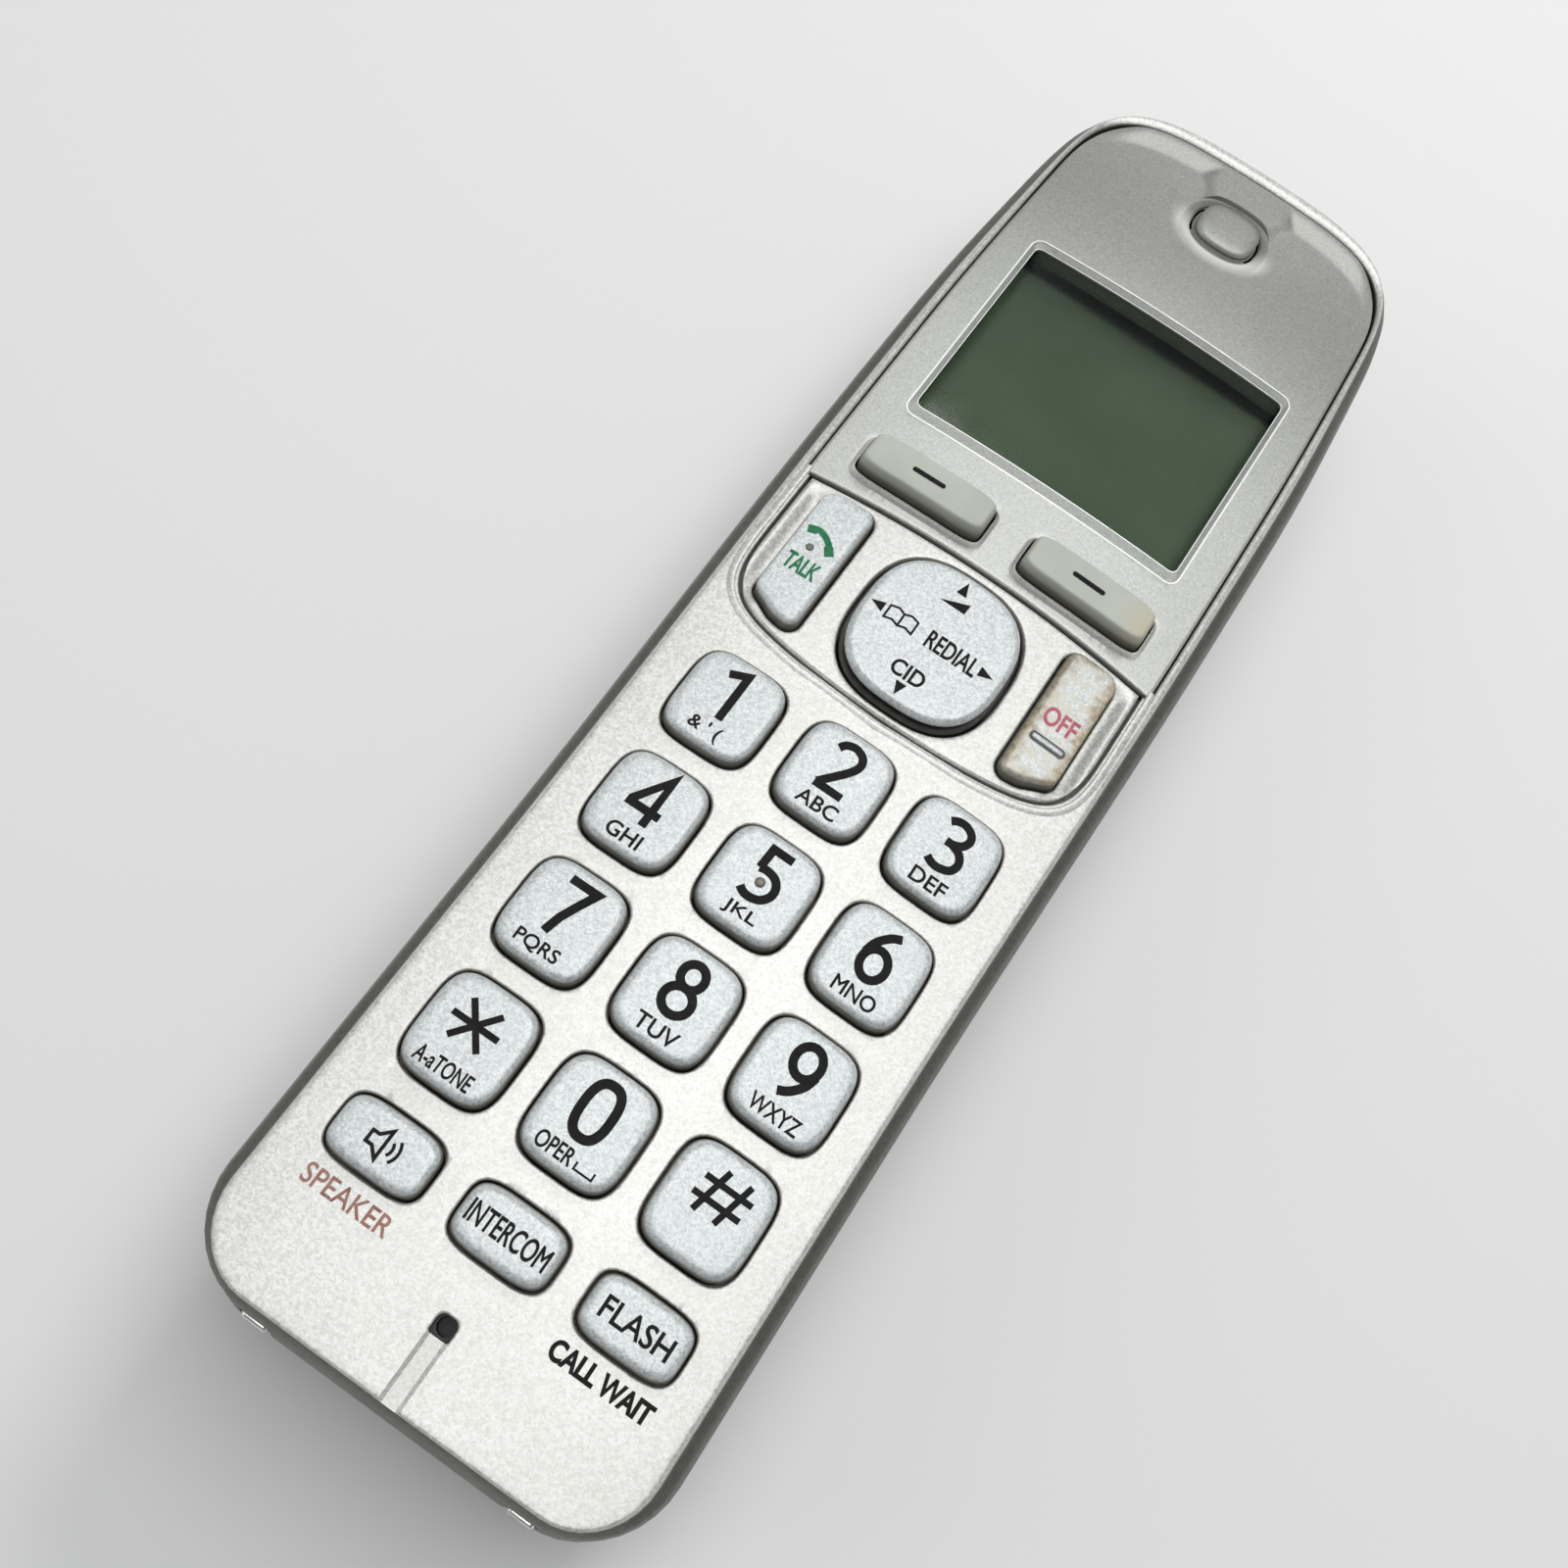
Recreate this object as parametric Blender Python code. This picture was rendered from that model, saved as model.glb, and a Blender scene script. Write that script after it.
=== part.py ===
"""Cordless telephone handset, lying on its back with its keys up.

The frame is +X to the right of the keypad, +Y towards the earpiece end and +Z out of the keypad. The origin
is below the middle of the body, on the surface that the handset lies on. All sizes in this script are
millimetres; new_object() turns them into Blender's metres.
"""

import math

import bmesh
import bpy

MM = 0.001

# Body: the back is flat in its middle and rises to the belt in one quarter ellipse all round.
HALF_W = 25.0
HALF_L = 86.0
FACE_Z = 28.0
CROWN_R = 220.0
PARTING_Z = 20.0
BELT_Z = 13.0
FLAT_HALF_W = 13.0
FLAT_TOP_Y = 15.0
FLAT_BOTTOM_Y = -70.0
ARCH = 23.5
ARCH_POWER = 4.1
SIDE_STEPS = 6
CORNER_R = 9.5
FACE_INSET = 2.5
FACE_TOP_Y = 87.5
WALL = 1.9
BACK_FLOOR = 4.2
GAP = 0.3

# Face: the display panel above, the navigation panel in a U-shaped pocket, then the key field.
PANEL_HALF_W = 21.5
PANEL_LOW_Y = 14.85
PANEL_TOP_Y = 83.15
PANEL_ARCH = 21.3
PANEL_POWER = 4.6
PANEL_SAG = 0.0023
PANEL_GAP = 0.25
PANEL_THICK = 1.6
PANEL_ROWS = (0, 0.1, 0.25, 0.4, 0.55, 0.7, 0.8, 0.87, 0.93, 0.97, 1)
NAV_PANEL_HALF_W = 21.15
NAV_PANEL_TOP_Y = 14.4
NAV_PANEL_LOW_Y = -6.5
NAV_PANEL_MID_Y = 12.3
NAV_PANEL_POWER = 8.0
NAV_PANEL_SAG = 0.0058
NAV_PANEL_THICK = 0.9
LEDGE_Z = 24.2

# Keys: the pitch of the dial keys drives the whole field.
PITCH_X = 13.2
PITCH_Y = 13.6
ROW_1_Y = -15.15
FUNCTION_ROW_Y = -67.65
FUNCTION_PITCH_X = 13.5
DIAL_HALF = (5.1, 5.4)
FUNCTION_HALF = (5.05, 3.05)
KEY_GAP = 0.25
KEY_PROUD = 1.4
SOFT_KEY_PROUD = 2.0
KEY_BOTTOM_Z = 23.8
KEY_FLANGE = 0.8
KEY_FLANGE_TOP_Z = 24.7
SOFT_KEY_X = 10.35
SOFT_KEY_Y = 19.65
SOFT_KEY_HALF = (7.8, 2.55)
NAV_Y = 3.85
NAV_CAP_HALF = (8.55, 8.75)
NAV_HOLE_HALF = (9.2, 9.5)

# Display window: the lens lies below a sloping rim that is widest at its lower side.
WINDOW_HALF_W = 17.2
WINDOW_LOW_Y = 28.75
WINDOW_TOP_Y = 56.8
WINDOW_MID_Y = (WINDOW_LOW_Y + WINDOW_TOP_Y) / 2
WINDOW_HALF_H = (WINDOW_TOP_Y - WINDOW_LOW_Y) / 2
LENS_FLANGE = 1.2
LENS_BELOW = 0.65
BEVEL_DEPTH = 0.45
BEVEL_HALF_W = 17.85
BEVEL_LOW_Y = 27.0
BEVEL_TOP_Y = 57.6

# Boards and rubber.
PCB_Z = 19.2
PCB_THICK = 1.2
MEMBRANE_Z = 20.75
MEMBRANE_THICK = 0.8
PAD_TOP_Z = 22.9
DOME_HEIGHT = 0.35

# Sound.
EARPIECE_Y = 74.4
LOUDSPEAKER_Y = 46.0
MIC_Y = -76.5
MIC_HALF_W = 1.1

# Power: two AAA cells side by side under the door.
CELL_R = 5.25
CELL_LENGTH = 44.5
CELL_X = 5.6
CELL_Z = 7.75
BAY_HALF_W = 11.7
BAY_LOW_Y = -57.5
BAY_TOP_Y = -6.0
BAY_CEILING_Z = 13.3
BAY_WALL = 1.3
DOOR_HALF_W = 19.5
DOOR_TOP_Y = -2.3
DOOR_THICK = 1.8
DOOR_END_Z = 8.7
RAIL_Z = 4.7
RAIL_THICK = 0.7
RAIL_TOP_Y = -8.0
RAIL_LOW_Y = -62.0
CONTACT_X = 14.7
CONTACT_HALF_W = 1.45
CONTACT_LOW_Z = 13.2
CONTACT_TOP_Z = 17.6
SCREW_X = 14.0
SCREW_Y = -76.0

# Name of each dial key, by row from the top.
DIAL_KEYS = (("key_1", "key_2", "key_3"), ("key_4", "key_5", "key_6"),
             ("key_7", "key_8", "key_9"), ("key_star", "key_0", "key_hash"))
FUNCTION_KEYS = ("speaker_key", "intercom_key", "flash_key")

# Colour, roughness and metallic value of each material.
FINISHES = {
    "silver_paint": ((0.60, 0.59, 0.55), 0.38, 0.55),
    "panel_silver": ((0.56, 0.56, 0.53), 0.35, 0.6),
    "key_silver": ((0.55, 0.57, 0.57), 0.42, 0.35),
    "soft_key_grey": ((0.42, 0.40, 0.36), 0.5, 0.0),
    "rear_grey": ((0.20, 0.19, 0.165), 0.45, 0.3),
    "clear_lens": ((0.75, 0.78, 0.76), 0.08, 0.0),
    "lcd_green": ((0.085, 0.10, 0.075), 0.3, 0.0),
    "black_plastic": ((0.02, 0.02, 0.02), 0.5, 0.0),
    "white_plastic": ((0.75, 0.75, 0.72), 0.5, 0.0),
    "silicone_rubber": ((0.30, 0.30, 0.31), 0.7, 0.0),
    "board_green": ((0.03, 0.16, 0.07), 0.45, 0.0),
    "tin_plate": ((0.70, 0.70, 0.69), 0.3, 1.0),
    "steel": ((0.55, 0.55, 0.54), 0.3, 1.0),
    "gold_plate": ((0.83, 0.80, 0.74), 0.25, 1.0),
    "cell_sleeve": ((0.05, 0.25, 0.12), 0.35, 0.0),
}


# ---------------------------------------------------------------- surfaces and outlines

def crown(x):
    """How far the face lies below its middle line at x."""
    return x * x / (2 * CROWN_R)


def face_z(x):
    """Height of the outer face, which is crowned across and straight along."""
    return FACE_Z - crown(x)


def smooth(low, high, value):
    """0 below low and 1 above high, with a smooth passage between them."""
    share = min(1.0, max(0.0, (value - low) / (high - low)))
    return share * share * (3 - 2 * share)


def breadth(y):
    """The body's relative breadth along its length: fullest beside the display."""
    return 0.995 + 0.035 * smooth(-40, 25, y) - 0.04 * smooth(40, 80, y)


def signed_power(value, power):
    return math.copysign(abs(value) ** power, value)


def superellipse(centre, half, power=4.0, count=12):
    """A squarish oval, anticlockwise from +X."""
    points = []
    for i in range(count):
        turn = 2 * math.pi * (i + 0.5) / count
        points.append((centre[0] + half[0] * signed_power(math.cos(turn), 2 / power),
                       centre[1] + half[1] * signed_power(math.sin(turn), 2 / power)))
    return points


def circle(centre, radius, count=12):
    return superellipse(centre, (radius, radius), 2.0, count)


def rectangle(x0, x1, y0, y1):
    return [(x1, y0), (x1, y1), (x0, y1), (x0, y0)]


def side_strip(side, inner, outer, y0, y1):
    """A rectangle on one side of the middle, from its inner to its outer edge."""
    x0, x1 = sorted((side * inner, side * outer))
    return rectangle(x0, x1, y0, y1)


def rounded_polygon(corners, radii, steps=3):
    """A polygon with each corner turned into an arc."""
    points = []
    for i, (corner, radius) in enumerate(zip(corners, radii)):
        before, after = corners[i - 1], corners[(i + 1) % len(corners)]
        a = math.atan2(before[1] - corner[1], before[0] - corner[0])
        b = math.atan2(after[1] - corner[1], after[0] - corner[0])
        half = ((a - b) % (2 * math.pi)) / 2
        reach = radius / math.sin(half)
        middle = b + half
        cx, cy = corner[0] + reach * math.cos(middle), corner[1] + reach * math.sin(middle)
        sweep = math.pi - 2 * half
        for k in range(steps + 1):
            turn = middle + math.pi - sweep / 2 + sweep * k / steps
            points.append((cx + radius * math.cos(turn), cy + radius * math.sin(turn)))
    return points


def talk_outline(side, grow=0.0):
    """Plan of the call keys: a tall key whose outer lower corner follows the navigation panel's curve."""
    corners = [(12.4, 12.95), (12.4, -4.25), (15.4, -3.75), (18.6, -2.05), (18.6, 12.95)]
    radii = [1.6, 1.3, 3.0, 1.6, 2.0]
    right = rounded_polygon(corners, radii)
    mid = (15.5, 4.65)
    grown = []
    for x, y in right:
        sx = 1 + grow / 3.1
        sy = 1 + grow / 8.5
        grown.append((mid[0] + (x - mid[0]) * sx, mid[1] + (y - mid[1]) * sy))
    return grown if side > 0 else [(-x, y) for x, y in grown[::-1]]


def plan_loop(half_w, top_y, bottom_y, arch, corner):
    """The body's outline seen from above: an arched top end, straight sides and rounded lower corners."""
    arch, corner = max(arch, 0.4), max(corner, 0.4)
    arch_steps, corner_steps, floor_steps = 16, 3, 4
    points = []
    for i in range(arch_steps + 1):
        turn = math.pi * i / arch_steps
        points.append((half_w * signed_power(math.cos(turn), 2 / ARCH_POWER),
                       top_y - arch + arch * abs(math.sin(turn)) ** (2 / ARCH_POWER)))
    high, low = top_y - arch, bottom_y + corner
    side_ys = [high + (low - high) * k / SIDE_STEPS for k in range(1, SIDE_STEPS)]
    points += [(-half_w, y) for y in side_ys]
    for side in (-1, 1):
        corner_points = []
        for i in range(corner_steps + 1):
            turn = math.pi / 2 * i / corner_steps
            corner_points.append((side * (half_w - corner + corner * math.cos(turn)),
                                  low - corner * math.sin(turn)))
        points += corner_points if side < 0 else corner_points[::-1]
        if side < 0:
            inner = half_w - corner
            points += [(-inner + 2 * inner * k / floor_steps, bottom_y) for k in range(1, floor_steps)]
    points += [(half_w, y) for y in side_ys[::-1]]
    return [(x * (breadth(y) - 0.02 * smooth(50, 78, y)), y) for x, y in points]


def back_level(turn, inset=0.0, lift=0.0):
    """One level line of the back. turn goes from 0 at the flat to a quarter turn at the belt."""
    rise = math.sin(turn)
    half_w = FLAT_HALF_W + (HALF_W - FLAT_HALF_W) * rise
    top_y = FLAT_TOP_Y + (HALF_L - FLAT_TOP_Y) * rise
    bottom_y = FLAT_BOTTOM_Y - (HALF_L + FLAT_BOTTOM_Y) * rise
    share = half_w / HALF_W
    z = BELT_Z * (1 - math.cos(turn)) + lift
    loop = plan_loop(half_w - inset, top_y - inset, bottom_y + inset, ARCH * share - inset,
                     CORNER_R * share - inset)
    return [(x, y, z) for x, y in loop]


def back_levels(steps, inset=0.0, lift=0.0):
    return [back_level(math.pi / 2 * i / steps, inset, lift) for i in range(steps + 1)]


def belt_loop(inset, z, bottom_y=-HALF_L, top_y=HALF_L):
    loop = plan_loop(HALF_W - inset, top_y - inset, bottom_y + inset, ARCH - inset, CORNER_R - inset)
    return [(x, y, z) for x, y in loop]


# ---------------------------------------------------------------- building blocks

def material(name):
    made = bpy.data.materials.get(name)
    if made is None:
        colour, roughness, metallic = FINISHES[name]
        made = bpy.data.materials.new(name)
        made.use_nodes = True
        shader = made.node_tree.nodes["Principled BSDF"]
        shader.inputs["Base Color"].default_value = (*colour, 1)
        shader.inputs["Roughness"].default_value = roughness
        shader.inputs["Metallic"].default_value = metallic
    return made


def new_object(name, bm, finish):
    """Turns a bmesh in millimetres into a named object in metres."""
    bmesh.ops.recalc_face_normals(bm, faces=bm.faces)
    bmesh.ops.scale(bm, vec=(MM, MM, MM), verts=bm.verts)
    mesh = bpy.data.meshes.new(name)
    bm.to_mesh(mesh)
    bm.free()
    mesh.shade_smooth()
    mesh.set_sharp_from_angle(angle=math.radians(35))
    obj = bpy.data.objects.new(name, mesh)
    bpy.context.scene.collection.objects.link(obj)
    if finish:
        mesh.materials.append(material(finish))
    return obj


def add_loft(bm, loops):
    """Skins a stack of loops that have the same number of points, and closes both ends."""
    rings = [[bm.verts.new(p) for p in loop] for loop in loops]
    for low, high in zip(rings, rings[1:]):
        for i in range(len(low)):
            j = (i + 1) % len(low)
            bm.faces.new((low[i], low[j], high[j], high[i]))
    bm.faces.new(rings[0][::-1])
    bm.faces.new(rings[-1])


def loft(name, loops, finish=None):
    bm = bmesh.new()
    add_loft(bm, loops)
    return new_object(name, bm, finish)


def at_height(outline, z):
    return [(x, y, z) for x, y in outline]


def prism(name, outline, z0, z1, finish=None):
    return loft(name, [at_height(outline, z0), at_height(outline, z1)], finish)


def box(name, x0, x1, y0, y1, z0, z1, finish=None):
    return prism(name, rectangle(x0, x1, y0, y1), z0, z1, finish)


def many(name, stacks, finish=None):
    """Several closed lofts in one object, for a cutter or for pieces that a union joins to their base."""
    bm = bmesh.new()
    for loops in stacks:
        add_loft(bm, loops)
    return new_object(name, bm, finish)


def column_stack(outline, z0, z1):
    return [at_height(outline, z0), at_height(outline, z1)]


def sheet_solid(name, xs, low_y, high_y, top_z, bottom_z, rows, finish=None, widen=lambda y: 1.0):
    """A plate whose plan edges are functions of x and whose faces are functions of (x, y)."""
    loops = []
    for x in xs:
        y0, y1 = low_y(x), high_y(x)
        line = [(x * widen(y), y) for y in (y0 + (y1 - y0) * share for share in rows)]
        loops.append([(u, v, bottom_z(u, v)) for u, v in line] + [(u, v, top_z(u, v)) for u, v in line[::-1]])
    return loft(name, loops, finish)


def turned(name, centre, profile, finish=None, count=16, axis="z"):
    """A round piece from (radius, distance along the axis) pairs, standing along z or lying along y."""
    loops = []
    for radius, along in profile:
        ring = circle((0, 0), radius, count)
        if axis == "z":
            loops.append([(centre[0] + u, centre[1] + v, centre[2] + along) for u, v in ring])
        else:
            loops.append([(centre[0] + u, centre[1] + along, centre[2] + v) for u, v in ring])
    return loft(name, loops, finish)


def spread(half, count, power=0.6):
    """Symmetrical x stations from -half to half, closer together near the ends."""
    stations = []
    for i in range(count + 1):
        share = 2 * i / count - 1
        stations.append(half * signed_power(share, power))
    return stations


def combine(target, other, operation, solver="EXACT"):
    """Joins or cuts target with a helper object, which is hidden from the render."""
    modifier = target.modifiers.new(other.name, "BOOLEAN")
    modifier.operation = operation
    modifier.solver = solver
    modifier.object = other
    other.hide_render = True
    other.display_type = "WIRE"
    return target


def cut(target, *cutters):
    for cutter in cutters:
        combine(target, cutter, "DIFFERENCE")
    return target


def add(target, *pieces):
    for piece in pieces:
        combine(target, piece, "UNION")
    return target


# ---------------------------------------------------------------- where the keys are

def key_places():
    """Name, centre and half size of every squarish key in the lower field."""
    places = []
    for row, names in enumerate(DIAL_KEYS):
        for column, name in enumerate(names):
            places.append((name, ((column - 1) * PITCH_X, ROW_1_Y - row * PITCH_Y), DIAL_HALF))
    for column, name in enumerate(FUNCTION_KEYS):
        places.append((name, ((column - 1) * FUNCTION_PITCH_X, FUNCTION_ROW_Y), FUNCTION_HALF))
    return places


def grown(half, by):
    return half[0] + by, half[1] + by


def soft_key_outline(side, grow=0.0):
    return superellipse((side * SOFT_KEY_X, SOFT_KEY_Y), grown(SOFT_KEY_HALF, grow), 7.0, 12)


def nav_outline(half):
    return superellipse((0, NAV_Y), half, 2.7, 20)


def window_outline(grow=0.0):
    half_w, half_h = WINDOW_HALF_W + grow, WINDOW_HALF_H + grow
    corners = rectangle(-half_w, half_w, WINDOW_MID_Y - half_h, WINDOW_MID_Y + half_h)
    return rounded_polygon(corners, [1.0] * 4)


def panel_top_edge(x, grow=0.0):
    """The display panel's arched upper edge."""
    half_w, arch = PANEL_HALF_W + grow, PANEL_ARCH + grow
    share = max(0.0, 1 - abs(x / half_w) ** PANEL_POWER)
    return PANEL_TOP_Y + grow - arch + arch * share ** (1 / PANEL_POWER)


def parting_edge(x, middle_y):
    """The line between the two panels, which falls a little towards the sides."""
    return middle_y - PANEL_SAG * x * x


def nav_panel_low_edge(x, grow=0.0):
    """The navigation panel's U-shaped lower edge."""
    half_w, depth = NAV_PANEL_HALF_W + grow, NAV_PANEL_MID_Y - NAV_PANEL_LOW_Y + grow
    share = max(0.0, 1 - abs(x / half_w) ** NAV_PANEL_POWER)
    low_y = NAV_PANEL_MID_Y - depth * share ** (1 / NAV_PANEL_POWER) + NAV_PANEL_SAG * x * x
    return min(NAV_PANEL_MID_Y, low_y)


# ---------------------------------------------------------------- casing

def face_loop(inset, below, end_y):
    """A level of the face's rounded edge."""
    return [(x, y, face_z(x) - below) for x, y, _ in belt_loop(inset, 0.0, end_y, FACE_TOP_Y)]


def make_front_cover():
    levels = [belt_loop(0.1, PARTING_Z, -85.3), belt_loop(0.5, 23.0, -85.5, 86.3),
              belt_loop(1.2, 25.0, -85.9, 86.9)]
    for inset, below, end_y in ((FACE_INSET - 0.3, 0.75, -86.25), (FACE_INSET, 0.2, -86.5),
                                (FACE_INSET + 0.3, 0.0, -86.6), (7.0, 0.0, -86.6), (14.0, 0.0, -86.6)):
        levels.append(face_loop(inset, below, end_y))
    cover = loft("front_cover", levels, "silver_paint")
    cavity = loft("front_cavity", [belt_loop(WALL, PARTING_Z - 1, -85.1),
                                   belt_loop(WALL, PARTING_Z + 1.8, -85.1),
                                   belt_loop(WALL + 1.0, LEDGE_Z, -85.1)])
    key_cavity = sheet_solid("front_key_cavity", spread(20.6, 10, 1.0), lambda x: -81.6, lambda x: 14.4,
                             lambda x, y: FACE_Z - 2.0 - crown(x), lambda x, y: LEDGE_Z - 1, (0, 1))
    panel_pocket = sheet_solid("panel_pocket", spread(PANEL_HALF_W + PANEL_GAP, 18),
                               lambda x: parting_edge(x, PANEL_LOW_Y - 0.15),
                               lambda x: panel_top_edge(x, PANEL_GAP),
                               lambda x, y: FACE_Z + 3, lambda x, y: face_z(x) - PANEL_THICK - GAP,
                               PANEL_ROWS, widen=breadth)
    nav_pocket = sheet_solid("nav_pocket", spread(NAV_PANEL_HALF_W + 0.2, 20, 0.35),
                             lambda x: nav_panel_low_edge(x, 0.2), lambda x: PANEL_LOW_Y + 0.5,
                             lambda x, y: FACE_Z + 4, lambda x, y: face_z(x) - NAV_PANEL_THICK - GAP, (0, 1))
    holes = [column_stack(superellipse(centre, grown(half, KEY_GAP)), 21, 31)
             for _, centre, half in key_places()]
    holes += [column_stack(talk_outline(side, KEY_GAP), 21, 31) for side in (-1, 1)]
    holes.append(column_stack(rectangle(-19.6, 19.6, 16.1, 23.1), 21, 31))
    holes.append(column_stack(nav_outline(NAV_HOLE_HALF), 21, 31))
    holes.append(column_stack(window_outline(LENS_FLANGE + 0.2), 21, 31))
    holes.append(column_stack(superellipse((0, EARPIECE_Y), (5.6, 4.3), 2.6), 21, 31))
    mic_hole = column_stack(rectangle(-MIC_HALF_W, MIC_HALF_W, MIC_Y - 1.1, MIC_Y + 1.1), 21, 31)
    mic_groove = column_stack(rectangle(-MIC_HALF_W + 0.01, MIC_HALF_W - 0.01, -90, MIC_Y), FACE_Z - 1.0, 31)
    bosses = [column_stack(circle((side * SCREW_X, SCREW_Y), 2.6, 12), 14.0, 26.6) for side in (-1, 1)]
    bores = [column_stack(circle((side * SCREW_X, SCREW_Y), 1.35, 12), 13.0, 24.0) for side in (-1, 1)]
    cut(cover, cavity, key_cavity, panel_pocket)
    # The two pockets overlap, and the exact solver loses the cover there.
    combine(cover, nav_pocket, "DIFFERENCE", "MANIFOLD")
    cut(cover, many("cover_mic_hole", [mic_hole]), many("cover_mic_groove", [mic_groove]))
    add(cover, many("cover_bosses", bosses))
    cut(cover, many("cover_boss_bores", bores), many("cover_key_holes", holes))


def make_display_panel():
    panel = sheet_solid("display_panel", spread(PANEL_HALF_W, 18), lambda x: parting_edge(x, PANEL_LOW_Y),
                        panel_top_edge, lambda x, y: face_z(x), lambda x, y: face_z(x) - PANEL_THICK,
                        PANEL_ROWS, "panel_silver", breadth)
    bevel = make_window_bevel()
    holes = [column_stack(window_outline(0.0), 24, 31)]
    holes += [column_stack(soft_key_outline(side, KEY_GAP), 24, 31) for side in (-1, 1)]
    # The earpiece is an island in a moat, and sound comes out of two slots at the moat's ends.
    moat = prism("earpiece_moat", superellipse((0, EARPIECE_Y), (4.85, 3.75), 2.6, 20), FACE_Z - 1.0, 31)
    cut(moat, prism("earpiece_island", superellipse((0, EARPIECE_Y + 0.9), (3.6, 3.5), 2.6, 20), 25, 33))
    slots = [column_stack(rectangle(x - 0.3, x + 0.3, EARPIECE_Y - 1.5, EARPIECE_Y + 1.5), 24, 31)
             for x in (-4.25, 4.25)]
    cut(panel, many("panel_holes", holes), bevel, moat, many("earpiece_slots", slots))


def make_window_bevel():
    """A cutter for the slope round the display window, shallow where it meets the face."""
    side, low, high = (BEVEL_HALF_W - WINDOW_HALF_W, WINDOW_LOW_Y - BEVEL_LOW_Y, BEVEL_TOP_Y - WINDOW_TOP_Y)
    spill = 0.1

    def floor(x, y):
        inside = min(1.0, (BEVEL_HALF_W - abs(x)) / side, (y - BEVEL_LOW_Y) / low, (BEVEL_TOP_Y - y) / high)
        return face_z(x) - BEVEL_DEPTH * inside

    inner = [WINDOW_HALF_W * share for share in (-1, -0.7, -0.35, 0, 0.35, 0.7, 1)]
    xs = [-BEVEL_HALF_W - spill] + inner + [BEVEL_HALF_W + spill]
    length = BEVEL_TOP_Y - BEVEL_LOW_Y + 2 * spill
    rows = (0, (low + spill) / length, 1 - (high + spill) / length, 1)
    return sheet_solid("window_bevel", xs, lambda x: BEVEL_LOW_Y - spill, lambda x: BEVEL_TOP_Y + spill,
                       lambda x, y: FACE_Z + 2, floor, rows)


def make_nav_panel():
    panel = sheet_solid("nav_panel", spread(NAV_PANEL_HALF_W, 20, 0.35), nav_panel_low_edge,
                        lambda x: parting_edge(x, NAV_PANEL_TOP_Y), lambda x, y: face_z(x),
                        lambda x, y: face_z(x) - NAV_PANEL_THICK, (0, 1), "silver_paint")
    holes = [column_stack(talk_outline(side, KEY_GAP), 21, 31) for side in (-1, 1)]
    holes.append(column_stack(nav_outline(NAV_HOLE_HALF), 21, 31))
    cut(panel, many("nav_panel_holes", holes))


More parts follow.
